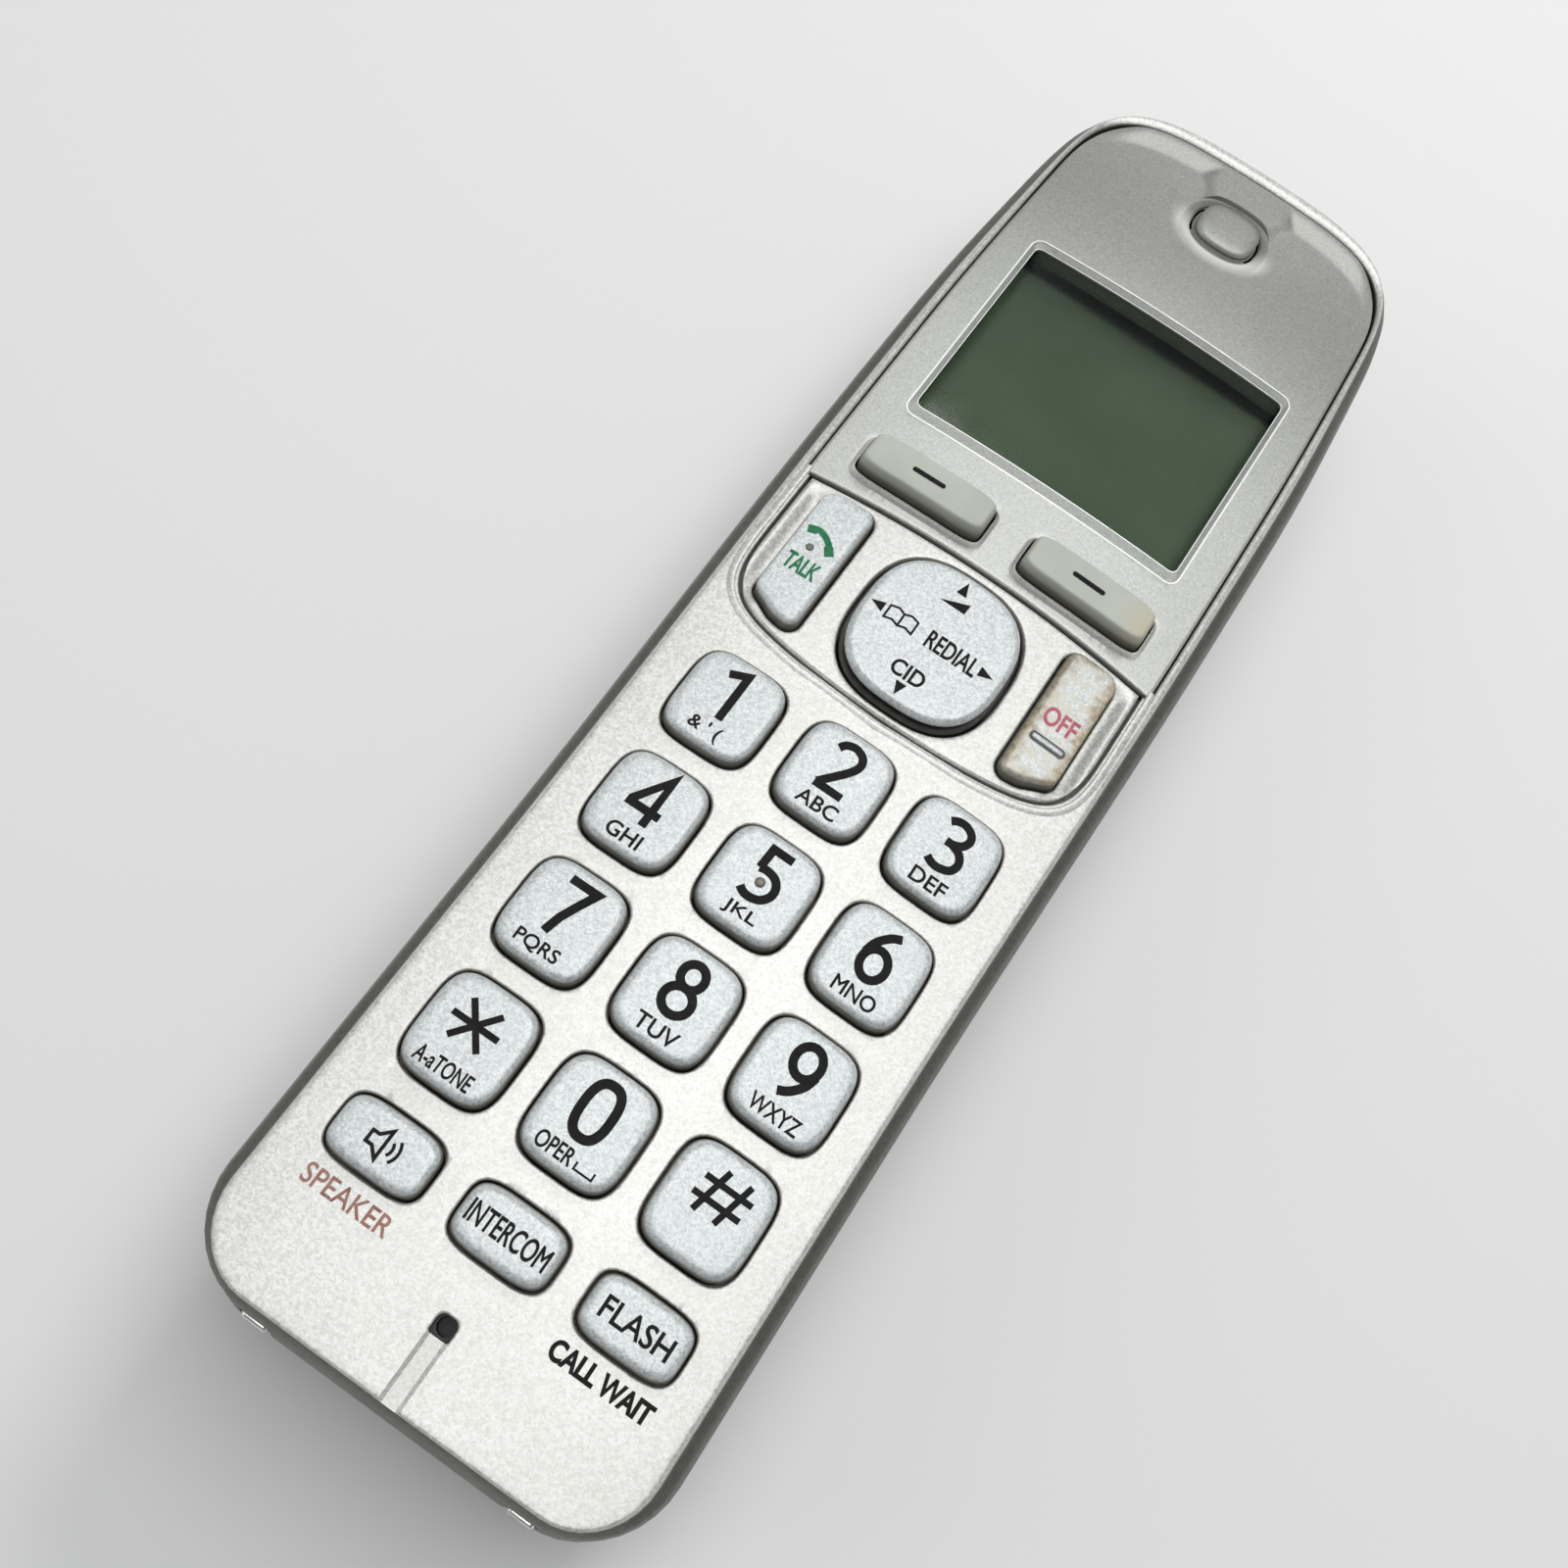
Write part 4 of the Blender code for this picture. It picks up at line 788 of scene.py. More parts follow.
def make_front_shell():
    levels = [belt_loop(inset, z, end_y, top_y) for inset, z, end_y, top_y in (
        (0.10, PARTING_Z, -85.3, 86.0), (0.17, 21.0, -85.35, 86.08), (0.30, 22.0, -85.4, 86.18),
        (0.50, 23.0, -85.5, 86.3), (0.82, 24.0, -85.65, 86.58), (1.2, 25.0, -85.9, 86.9))]
    shoulder = ((1.78, 1.25, -86.1), (2.14, 0.85, -86.25), (2.24, 0.60, -86.35), (2.32, 0.42, -86.42),
                (2.42, 0.26, -86.5), (2.54, 0.13, -86.55), (2.68, 0.04, -86.6))
    face = tuple((inset, 0.0, -86.6) for inset in (2.85, 3.3, 5, 7, 9, 11, 13, 15, 17, 19, 21, 23, 24.6))
    levels += [under_face(belt_outline(inset, end_y, FACE_TOP_Y), below)
               for inset, below, end_y in shoulder + face]
    shell = lofts(levels)
    cut(shell, [belt_loop(inset, z, INNER_END_Y)
                for inset, z in ((WALL, PARTING_Z - 1), (WALL, PARTING_Z + 1.8), (WALL + 1.0, LEDGE_Z))])
    combine(shell, plate(stations(-20.6, 20.6, 12), lambda x: -81.6, lambda x: NAV_TOP_Y,
                         lambda x, y: face_z(x) - 2.0, lambda x, y: LEDGE_Z - 1, (0, 1)))
    cut(shell, opening(pocket_outline, 0.0, PANEL_THICK + GAP, rim=POCKET_RIM))
    combine(shell, lofts(opening(nav_pocket_outline, 0.28, NAV_THICK + GAP)), "DIFFERENCE", "MANIFOLD")
    cut_front_holes(shell)
    combine(shell, screw_pair(2.6, 14.0, 26.6), "UNION")
    combine(shell, screw_pair(1.35, 13.0, 24.0))
    new_piece("front_shell", shell, M["silver_paint"], HANDSET, ["front_cover"])


def make_nav_bead():
    """The raised bead on the shell round the navigation panel."""
    path = nav_edge_points(0.95, 84)
    path = [(path[0][0], 14.4)] + path + [(path[-1][0], 14.4)]
    profile = ((-0.44, -0.3), (-0.44, 0.0), (-0.36, 0.13), (-0.18, 0.21),
               (0.06, 0.2), (0.3, 0.09), (0.5, 0.0), (0.5, -0.3))
    loops = []
    for i, (x, y) in enumerate(path):
        x0, y0 = path[max(i - 1, 0)]
        x1, y1 = path[min(i + 1, len(path) - 1)]
        size = math.hypot(x1 - x0, y1 - y0)
        nx, ny = (y1 - y0) / size, -(x1 - x0) / size
        loops.append([(x + nx * u, y + ny * u, face_z(x + nx * u) + w) for u, w in profile])
    new_piece("nav_bead", lofts(loops), M["silver_paint"], HANDSET, (), 40.0)


def shares_along(length, low_edge, inner, high_edge):
    """Shares of a length, with some close to each end, where the edge is rounded."""
    low, high = ([v / length for v in (0.0, *edge)] for edge in (low_edge, high_edge))
    return sorted(set(low + inner + [1 - v for v in high]))


def cut_soft_key_holes(panel):
    """A hole for each soft key, in a shallow recess that reaches further below the key than above it."""
    recess = ((-0.2, (8.08, 2.95), 0.24), (-0.28, (8.15, 3.05), 0.22), (-0.44, (8.36, 3.28), 0.07),
              (-0.47, (8.45, 3.35), 0.03), (-0.48, (8.52, 3.41), 0.0), (-0.48, (8.56, 3.45), -0.05),
              (-0.48, (8.56, 3.45), -3.0))
    centres = [(side * SOFT_X, SOFT_Y) for side in (-1, 1)]
    cut(panel, *[[under_face(superellipse((x, y + shift), half, 6.0), below)
                  for shift, half, below in recess] for x, y in centres])
    cut(panel, *[column(superellipse(centre, grown(SOFT_HALF, KEY_GAP), 7.0), 24, CUT_TOP_Z)
                 for centre in centres])


def ear_outline(grow):
    """The slope round the ear recess is widest on its lower side."""
    return superellipse((0, EAR_Y - 0.38 * grow), (4.6 + 0.55 * grow, 3.5 + 0.62 * grow), 2.6, 96)


def cut_ear_recess(panel):
    """A recess with a curved sound slot through its floor on each side."""
    rim = ((0.0, 0.72), (0.06, 0.66), (0.2, 0.59), (0.7, 0.38), (1.2, 0.19), (1.6, 0.07), (1.9, 0.01),
           (2.0, -0.01), (2.1, -0.04), (2.1, -3.0))
    cut(panel, opening(ear_outline, 0.0, 0.8, lambda x, y: face_z(x) - dip(y), rim))
    turns = [math.radians(-32 + 64 * k / 16) for k in range(17)]

    def slot(side):
        inner, outer = ([(side * 4.5 * size * abs(math.cos(t)) ** 0.8,
                          EAR_Y + 3.5 * size * signed_power(math.sin(t), 0.8)) for t in turns]
                        for size in (0.93, 1.0))
        return inner[::-1] + outer

    combine(panel, pair(slot, 22, CUT_TOP_Z))


def make_display_panel():
    edge = (0.04, 0.12, 0.22, 0.36, 0.6)
    inner = [i / 40 for i in range(1, 35)] + [0.88 + 0.12 * i / 34 for i in range(34)]
    shares = sorted(set(round(v, 6) for v in shares_along(PANEL_TOP_Y - PANEL_LOW_Y, edge, inner, edge[:4])))

    def low_edge(x):
        return parting_edge(x, PANEL_LOW_Y)

    def top(x, y):
        flat_x = x / breadth(y)
        near = min(PANEL_HALF_W - abs(flat_x), y - low_edge(x), panel_top_edge(flat_x) - y)
        return panel_z(x, y) - 0.22 * max(0.0, 1 - max(near, 0.0) / 0.34) ** 2.4

    panel = plate(stations(-PANEL_HALF_W, PANEL_HALF_W, 104, edge), low_edge, panel_top_edge, top,
                  lambda x, y: face_z(x) - PANEL_THICK, shares, breadth)
    rim = ((0.0, 0.47), (0.04, 0.43), (0.95, 0.07), (1.0, 0.03), (1.06, 0.0), (1.1, -0.04), (1.1, -3.0))
    cut(panel, opening(bevel_outline, 0.0, 4.0, rim=rim))
    cut_soft_key_holes(panel)
    cut_ear_recess(panel)
    new_piece("display_bezel", panel, M["panel_silver"], HANDSET, ["display_panel"], 30.0)


def make_painted_window_highlights():
    """Painted highlights: thin lines of bright paint along the edges of the slope round the window."""
    for name, share, width, below in (("outer", 1.06, 0.2, 0.0), ("inner", 0.06, 0.14, 0.43)):
        sit(ribbon(bevel_outline(share), width, True), HANDSET, "window_highlight_line_" + name,
            lambda x, y: face_z(x) - below, M["painted_highlight_edge"], 0.02)


def make_ear_island():
    island = []
    for grow, rise in ((0.0, -1.5), (0.0, -0.75), (-0.06, -0.52), (-0.2, -0.34), (-0.45, -0.2), (-0.8, -0.12),
                       (-1.3, -0.07), (-1.9, -0.04), (-2.4, -0.03)):
        ring = superellipse((0.1, EAR_Y + 0.6), (3.9 + grow, 3.3 + grow), 2.8, 72)
        island.append([(x, y, face_z(x) - dip(72.0) + 0.1 + rise) for x, y in ring])
    new_piece("earpiece_island", lofts(island), M["panel_silver"], HANDSET, (), 40.0)


def make_nav_panel():
    edge, half = (0.04, 0.1, 0.2, 0.34), NAV_HALF_W - 0.1
    shares = shares_along(NAV_TOP_Y - NAV_LOW_Y, edge, [i / 46 for i in range(1, 46)], edge)

    def low_edge(x):
        return nav_low_edge(x, -0.1)

    def top_edge(x):
        return parting_edge(x, NAV_TOP_Y)

    def top(x, y):
        near = min(half - abs(x), y - low_edge(x), top_edge(x) - y)
        return nav_panel_z(x, y) - 0.26 * max(0.0, 1 - max(near, 0.0) / 0.4) ** 2.4

    panel = plate(stations(-half, half, 110, edge), low_edge, top_edge, top,
                  lambda x, y: face_z(x) - NAV_THICK - 0.28, shares)
    holes = [opening(lambda grow, s=side: talk_outline(s, grow), KEY_GAP, HOLE_DEEP, nav_panel_z)
             for side in (-1, 1)]
    rim = ((0.0, 0.45), (0.04, 0.25), (0.16, 0.08), (0.34, 0.0), (0.38, -0.03), (0.38, -3.0))
    holes.append(opening(lambda grow: nav_outline(grown(NAV_HOLE, grow)), 0.0, HOLE_DEEP, rim=rim))
    cut(panel, *holes)
    new_piece("nav_plate", panel, M["nav_paint"], HANDSET, ["nav_panel"], 30.0)


def make_rear_shell():
    rim_z, lip = PARTING_Z - GAP, 2.2
    levels = back_levels(22)
    levels += [belt_loop(inset, z, end_y) for inset, z, end_y in (
        (0.0, 15.0, -HALF_L), (0.04, 17.5, -85.65), (0.10, rim_z - 0.15, -85.3), (0.22, rim_z, -85.2),
        (lip, rim_z, -85.3), (lip, rim_z + 1.5, -85.3))]
    rear = lofts(levels)
    cavity = back_levels(8, WALL, BACK_FLOOR)
    cavity += [belt_loop(lip + 0.9, z, -85.3) for z in (rim_z - 1.5, rim_z + 3)]
    cut(rear, cavity)
    tray_half_w = BAY_HALF_W + BAY_WALL
    combine(rear, block(-tray_half_w, tray_half_w, BAY_LOW_Y - BAY_WALL, BAY_TOP_Y + BAY_WALL,
                        3.0, BAY_CEILING_Z + BAY_WALL), "UNION")
    posts = [column(circle((side * 17.2, y), 1.6, 16), 5.0, PCB_Z - GAP)
             for side in (-1, 1) for y in (-30.0, 18.0, 58.0)]
    posts += [column(circle((side * SCREW_X, SCREW_Y), 3.7), 4.0, 13.6) for side in (-1, 1)]
    combine(rear, lofts(*posts), "UNION")
    cut_door_opening(rear)
    combine(rear, screw_pair(2.6, -2, 9.0))
    combine(rear, screw_pair(1.4, 8, 15))
    half = CONTACT_HALF_W + GAP
    combine(rear, pair(lambda side: rectangle(side * CONTACT_X - half, side * CONTACT_X + half, -90, -81.2),
                       CONTACT_LOW_Z - GAP, CONTACT_TOP_Z + GAP))
    slots = [soft_rectangle(-half, half, SPEAKER_Y + up - 0.62, SPEAKER_Y + up + 0.62, 0.58, 6)
             for up, half in ((-6, 4.5), (-3, 7.0), (0, 8.0), (3, 7.0), (6, 4.5))]
    cut(rear, *[column(outline, -2, 9) for outline in slots])
    new_piece("rear_shell", rear, M["rear_grey"], HANDSET, ["rear_cover"], 34.0)


def cut_door_opening(rear):
    """Room for the battery door, the bay behind it and the grooves in which its tongues slide."""
    gap, half_w = DOOR_THICK + GAP, DOOR_HALF_W + GAP
    void = block(-half_w, half_w, END_CUT_Y, DOOR_TOP_Y + GAP, -2, DOOR_END_Z + GAP)
    cut(void, back_levels(14, gap, gap) + [belt_loop(gap, 20)])
    combine(rear, void)
    combine(rear, block(-BAY_HALF_W, BAY_HALF_W, BAY_LOW_Y, BAY_TOP_Y, -2, BAY_CEILING_Z))
    for inner, outer, z0 in ((DOOR_HALF_W - 1.2 - GAP, half_w, 1.0),
                             (DOOR_HALF_W, DOOR_HALF_W + 0.9 + GAP, RAIL_Z - GAP)):
        combine(rear, pair(lambda side: strip_beside(side, inner, outer, END_CUT_Y, RAIL_TOP_Y + GAP),
                           z0, RAIL_Z + RAIL_THICK + GAP))


def make_battery_door():
    door = block(-DOOR_HALF_W, DOOR_HALF_W, END_CUT_Y, DOOR_TOP_Y, -2, DOOR_END_Z)
    combine(door, lofts(back_levels(22) + [belt_loop(0.0, 20)]), "INTERSECT")
    cut(door, back_levels(14, DOOR_THICK, DOOR_THICK) + [belt_loop(DOOR_THICK, 20)])
    for outer, z0 in ((DOOR_HALF_W, 2.6), (DOOR_HALF_W + 0.9, RAIL_Z)):
        combine(door, pair(lambda side: strip_beside(side, DOOR_HALF_W - 1.2, outer, RAIL_LOW_Y, RAIL_TOP_Y),
                           z0, RAIL_Z + RAIL_THICK), "UNION")
    grips = []
    for k in range(5):
        y, half = DOOR_TOP_Y - 5.2 - 1.9 * k, 7.5 - 0.9 * k
        outline = soft_rectangle(-half, half, y - 0.4, y + 0.4, 0.38, 6)
        grips.append([at_height(offset(outline, by), z)
                      for by, z in ((0.35, -1.0), (0.3, -0.02), (0.05, 0.3), (-0.12, 0.45))])
    cut(door, *grips)
    new_piece("door_skin", door, M["rear_grey"], "battery_door_body", ["battery_door"], 34.0)


# ---------------------------------------------------------------- keys
# A keycap's section, from its body over the rounded shoulder to the middle of its top, as pairs of (growth,
# height above the face as a share of how proud the key is).
SHOULDER = ((0.0, 0.0), (-0.02, 0.25), (-0.07, 0.45), (-0.16, 0.62), (-0.28, 0.76), (-0.43, 0.87),
            (-0.60, 0.945), (-0.80, 0.98), (-1.05, 0.994), (-1.5, 1.0), (-2.1, 1.0))


def key_levels(outline, proud=KEY_PROUD, flange=KEY_FLANGE, shoulder=SHOULDER):
    levels = [at_height(outline(flange), KEY_BOTTOM_Z), at_height(outline(flange), KEY_FLANGE_TOP_Z),
              at_height(outline(0.0), KEY_FLANGE_TOP_Z)]
    for grow, share in shoulder:
        levels.append(under_face(outline(grow), -proud * share))
    return levels


def call_key_ring(side, grow):
    """A call key's outline; its shoulder is steep on the outer side and soft on the others."""
    ring = talk_outline(side, grow)
    if grow >= 0:
        return ring
    return [(x - side * 0.8 * grow * smooth(15.0, 18.0, abs(x)), y) for x, y in ring]


def make_cap(name, outline, slot, finish, **section):
    cap = lofts(key_levels(outline, **section))
    new_piece(name + "_cap", cap, M[finish], name + "_body", [name], 40.0)


def make_keys():
    for name, centre, half in key_places():
        make_cap(name, lambda grow: superellipse(centre, grown(half, grow), 4.0, 88), "key_silver",
                 "key_3_silver" if name == "key_3" else "key_silver")
    for name, side, finish in (("talk_key", -1, "key_silver"), ("off_key", 1, "off_key_silver")):
        make_cap(name, lambda grow: call_key_ring(side, grow), "key_silver", finish, shoulder=SHOULDER[:-1])
    soft_shoulder = [(grow * 0.62, share) for grow, share in SHOULDER]
    for name, x, finish in (("soft_key_left", -SOFT_X, "soft_key_grey"),
                            ("soft_key_right", SOFT_X, "soft_key_stained")):
        make_cap(name, lambda grow: superellipse((x, SOFT_Y), grown(SOFT_HALF, grow), 7.0 + grow, 96),
                 "soft_key_grey", finish, proud=SOFT_PROUD, flange=0.6, shoulder=soft_shoulder)


def make_nav_key():
    top = FACE_Z - 0.25
    flange, skirt = (9.9, 10.2), (8.9, 9.15)
    carrier = lofts([at_height(nav_outline(half), z) for half, z in (
        (flange, 24.0), (flange, KEY_FLANGE_TOP_Z), (skirt, KEY_FLANGE_TOP_Z), (skirt, top - 0.2),
        ((8.7, 8.95), top))])
    cut(carrier, column(circle((0, NAV_Y), 2.9), 25.6, CUT_TOP_Z))
    new_piece("nav_carrier_ring", carrier, M["carrier_plastic"], "nav_carrier_body", ["nav_carrier"])
    section = ((0.5, 0.3), (0.3, 0.32), (0.1, 0.42), (0.0, 0.58), (0.0, 0.78), (0.06, 0.92), (0.22, 1.10),
               (0.42, 1.26), (0.52, 1.32), (0.64, 1.345), (0.9, 1.36), (2.0, 1.37), (3.5, 1.385),
               (5.0, 1.395), (6.5, 1.4), (7.8, 1.4))
    cap = lofts([at_height(nav_outline(grown(NAV_CAP, -inset)), FACE_Z + rise) for inset, rise in section])
    combine(cap, lofts(column(circle((0, NAV_Y), 2.2), 25.9, FACE_Z + 0.8)), "UNION")
    new_piece("nav_key_cap", cap, M["nav_silver"], "nav_key_body", ["nav_key"], 40.0)


# ---------------------------------------------------------------- display, sound and power pieces
def make_display():
    gap, edge = 0.15, (0.06, 0.14)
    half, low, high = WINDOW_HALF_W - gap, WINDOW_LOW_Y + gap, WINDOW_TOP_Y - gap

    def top(x, y):
        near = min(half - abs(x), y - low, high - y)
        return face_z(x) - 0.65 - 0.12 * max(0.0, 1 - near / 0.14)

    lens = plate(stations(-half, half, 24, edge), lambda x: low, lambda x: high, top,
                 lambda x, y: face_z(x) - 2.6, shares_along(high - low, edge, [0.5], edge))
    new_piece("window_lens", lens, M["lens"], HANDSET, ["display_lens"], 30.0)


def make_cells():
    """Two cells that point opposite ways, each with a spring at its flat end."""
    outward = ((0.6, 0.0), (1.7, 0.05), (1.9, 0.25), (1.9, 0.95), (4.3, 1.0), (4.9, 1.1), (5.15, 1.3),
               (CELL_R, 1.7), (CELL_R, CELL_LENGTH - 0.9), (5.05, CELL_LENGTH - 0.35), (4.6, CELL_LENGTH))
    turned = [(radius, CELL_LENGTH - along) for radius, along in outward[::-1]]
    for index, side, profile, low, spring_end in ((1, -1, turned, BAY_LOW_Y + 5.6, BAY_LOW_Y + 0.9),
                                                  (2, 1, outward, BAY_LOW_Y + 1.2, BAY_TOP_Y - 0.9)):
        x = side * CELL_X
        cell = lofts(turned_stack((x, low, CELL_Z), profile, 56, True))
        new_piece(f"cell_{index}", cell, M["cell"], HANDSET, [f"battery_cell_{index}"], 34.0)
        make_cell_spring(index, x, spring_end, -side)


def make_cell_spring(index, x, end_y, way):
    turns, per_turn, wire_r, length = 3.5, 28, 0.32, 3.7
    count = int(turns * per_turn)
    path = []
    for share in (i / count for i in range(count + 1)):
        turn, radius = 2 * math.pi * turns * share, 3.9 - 1.7 * share
        path.append(Vector((x + radius * math.cos(turn), end_y + way * length * share,
                            CELL_Z + radius * math.sin(turn))))
    loops = []
    for i, point in enumerate(path):
        along = (path[min(i + 1, count)] - path[max(i - 1, 0)]).normalized()
        across = along.cross(Vector((0, 1, 0))).normalized()
        up = across.cross(along)
        loops.append([tuple(point + wire_r * (math.cos(a) * across + math.sin(a) * up))
                      for a in (2 * math.pi * k / 10 for k in range(10))])
    new_piece(f"cell_spring_{index}", lofts(loops), M["steel"], HANDSET, [f"battery_spring_{index}"],
              60.0)


def make_charge_contacts():
    for name, side in (("left", -1), ("right", 1)):
        x0, x1 = side * CONTACT_X - CONTACT_HALF_W, side * CONTACT_X + CONTACT_HALF_W
        outline = soft_rectangle(x0, x1, CONTACT_LOW_Z, CONTACT_TOP_Z, 0.5, 6)
        strip = lofts([[(x, y, z) for x, z in offset(outline, -inset)] for inset, y in (
            (0.0, -82.9), (0.0, -85.6), (0.08, -85.82), (0.25, -85.95), (0.6, -86.0))])
        for inset, y0, y1, z0, z1 in ((0.4, -83.2, -81.0, CONTACT_TOP_Z - 1.2, CONTACT_TOP_Z - 0.1),
                                      (0.45, -81.7, -80.9, CONTACT_TOP_Z - 1.1, PCB_Z + 0.8)):
            combine(strip, block(x0 + inset, x1 - inset, y0, y1, z0, z1), "UNION")
        new_piece("contact_" + name, strip, M["contact_plating"], HANDSET, ["charge_contact_" + name])


def make_screws():
    profile = ((1.3, 7.0), (1.7, 7.06), (2.05, 7.3), (2.2, 7.7), (2.2, 8.7), (1.1, 8.8), (1.1, 21.4),
               (0.5, 22.2))
    for name, x in (("left", -SCREW_X), ("right", SCREW_X)):
        screw = lofts(turned_stack((x, SCREW_Y, 0), profile))
        for a, b in ((1.2, 0.28), (0.28, 1.2)):
            combine(screw, block(x - a, x + a, SCREW_Y - b, SCREW_Y + b, 6.5, 7.9))
        new_piece("screw_" + name, screw, M["steel"], HANDSET, ["case_screw_" + name])


# ---------------------------------------------------------------- printed legends
INK = 0.028


def sit(obj, body, name, surface, finish, top=INK):
    """Lays a flat outline mesh, drawn with z from 0 to 1, on a surface as a thin layer."""
    bm = bmesh.new()
    bm.from_mesh(obj.data)
    for _ in range(2):
        long_edges = [e for e in bm.edges if e.calc_length() > 0.9]
        if long_edges:
            bmesh.ops.subdivide_edges(bm, edges=long_edges, cuts=1)
    bmesh.ops.triangulate(bm, faces=bm.faces)
    for v in bm.verts:
        v.co.z = surface(v.co.x, v.co.y) + (top if v.co.z > 0.5 else -0.03)
    bm.to_mesh(obj.data)
    bm.free()
    return new_piece(name, obj, finish, body, (), 30.0, False)


def spread(values):
    """The middle and the size of a set of values."""
    low, high = min(values), max(values)
    return (high + low) / 2, high - low


def text_flat(text, centre, width, height, bold=0.0):
    """A word as a flat closed mesh, of exactly that width and height, its strokes thickened by a distance."""
    curve = bpy.data.curves.new("work", "FONT")
    curve.body = text
    curve.extrude = 0.5
    curve.resolution_u = 5
    source = bpy.data.objects.new("work", curve)
    bpy.context.scene.collection.objects.link(source)
    graph = bpy.context.evaluated_depsgraph_get()
    mesh = bpy.data.meshes.new_from_object(source.evaluated_get(graph))
    bpy.data.objects.remove(source)
    (mx, wide), (my, tall) = (spread([v.co[axis] for v in mesh.vertices]) for axis in (0, 1))
    sx, sy = (width - 2 * bold) / wide, (height - 2 * bold) / tall
    for v in mesh.vertices:
        v.co = (centre[0] + (v.co.x - mx) * sx, centre[1] + (v.co.y - my) * sy, v.co.z + 0.5)
    bm = bmesh.new()
    bm.from_mesh(mesh)
    bmesh.ops.remove_doubles(bm, verts=bm.verts, dist=0.0001)
    bmesh.ops.recalc_face_normals(bm, faces=bm.faces)
    bm.normal_update()
    moves = []
    for v in bm.verts:
        walls = [f.normal.xy.normalized() for f in v.link_faces
                 if abs(f.normal.z) < 0.5 and f.calc_area() > 1e-9]
        way = sum(walls, Vector((0.0, 0.0)))
        if way.length > 0.1:
            way.normalize()
            moves.append((v, way * (bold / max(0.7, min(way.dot(wall) for wall in walls)))))
    for v, move in moves:
        v.co.xy += move
    return stand(bm)


def curve_through(points, steps=8):
    """A smooth line through the points (Catmull-Rom)."""
    made, last = [], len(points) - 1
    for i in range(last):
        p = [points[min(max(i + k, 0), last)] for k in (-1, 0, 1, 2)]
        for t in (step / steps for step in range(steps)):
            place = []
            for p0, p1, p2, p3 in zip(*p):
                place.append(0.5 * (2 * p1 + (p2 - p0) * t + (2 * p0 - 5 * p1 + 4 * p2 - p3) * t * t
                                    + (3 * p1 - p0 - 3 * p2 + p3) * t ** 3))
            made.append(tuple(place))
    return made + [points[-1]]


def ribbon(points, width, closed=False):
    """A stroke of even width along a line, as a closed loft."""
    loops, count = [], len(points)
    for i, (x, y) in enumerate(points):
        a = points[(i - 1) % count] if closed or i else points[0]
        b = points[(i + 1) % count] if closed or i < count - 1 else points[-1]
        u = (x - a[0], y - a[1]) if (x, y) != a else (b[0] - x, b[1] - y)
        v = (b[0] - x, b[1] - y) if (x, y) != b else u
        lu, lv = math.hypot(*u), math.hypot(*v)
        nx, ny = -(u[1] / lu + v[1] / lv), u[0] / lu + v[0] / lv
        size = math.hypot(nx, ny)
        nx, ny = nx / size, ny / size
        cosine = max(0.35, (nx * -u[1] + ny * u[0]) / lu)
        reach = width / 2 / cosine
        left, right = (x + nx * reach, y + ny * reach), (x - nx * reach, y - ny * reach)
        loops.append([(*left, 0.0), (*right, 0.0), (*right, 1.0), (*left, 1.0)])
    bm = bmesh.new()
    add_loft(bm, loops, closed)
    bmesh.ops.recalc_face_normals(bm, faces=bm.faces)
    return stand(bm)


def polygon(points):
    return lofts([at_height(points, 0.0), at_height(points, 1.0)])


def joined(parts):
    """The union of several flat pieces."""
    first = parts[0]
    for other in parts[1:]:
        combine(first, other, "UNION")
    return first


# Strokes of the glyphs, on a grid one unit high, as (points, whether they are smoothed, whether they close).
def straight(*points):
    return points, False, False


def bend(*points):
    return points, True, False


def oval(cx, cy, half_w, half_h):
    turns = [2 * math.pi * k / 24 for k in range(24)]
    return [(cx + half_w * math.cos(t), cy + half_h * math.sin(t)) for t in turns], False, True


GLYPHS = {
    "0": [(superellipse((0.30, 0.5), (0.245, 0.455), 2.6, 36), False, True)],
    "1": [straight((0.06, 0.82), (0.36, 0.96), (0.36, 0.0))],
    "2": [bend((0.07, 0.80), (0.15, 0.91), (0.31, 0.955), (0.47, 0.88), (0.52, 0.73), (0.45, 0.55),
               (0.28, 0.32), (0.08, 0.07)), straight((0.045, 0.05), (0.56, 0.05))],
    "3": [bend((0.07, 0.87), (0.18, 0.94), (0.32, 0.95), (0.46, 0.87), (0.50, 0.74), (0.43, 0.60),
               (0.28, 0.53), (0.17, 0.525)),
          bend((0.17, 0.525), (0.30, 0.52), (0.47, 0.44), (0.54, 0.28), (0.48, 0.12), (0.31, 0.045),
               (0.17, 0.05), (0.05, 0.11))],
    "4": [straight((0.43, 0.0), (0.43, 0.945), (0.05, 0.33), (0.05, 0.27), (0.59, 0.27))],
    "5": [straight((0.52, 0.95), (0.16, 0.95), (0.14, 0.56)),
          bend((0.135, 0.56), (0.28, 0.58), (0.44, 0.53), (0.53, 0.40), (0.53, 0.24), (0.43, 0.10),
               (0.27, 0.045), (0.14, 0.06), (0.05, 0.12))],
    "6": [bend((0.49, 0.94), (0.33, 0.85), (0.17, 0.65), (0.10, 0.42)), oval(0.32, 0.315, 0.22, 0.27)],
    "7": [straight((0.05, 0.945), (0.53, 0.945), (0.40, 0.66), (0.26, 0.32), (0.19, 0.0))],
    "8": [oval(0.31, 0.735, 0.19, 0.215), oval(0.31, 0.285, 0.235, 0.24)],
    "hash": [straight((0.16, 0.05), (0.34, 0.95)), straight((0.52, 0.05), (0.70, 0.95)),
             straight((0.02, 0.33), (0.80, 0.33)), straight((0.06, 0.67), (0.84, 0.67))],
    "star": [straight((0.0, 0.5), (1.11, 0.5)), straight((0.20, 0.055), (0.91, 0.945)),
             straight((0.91, 0.055), (0.20, 0.945))],
}
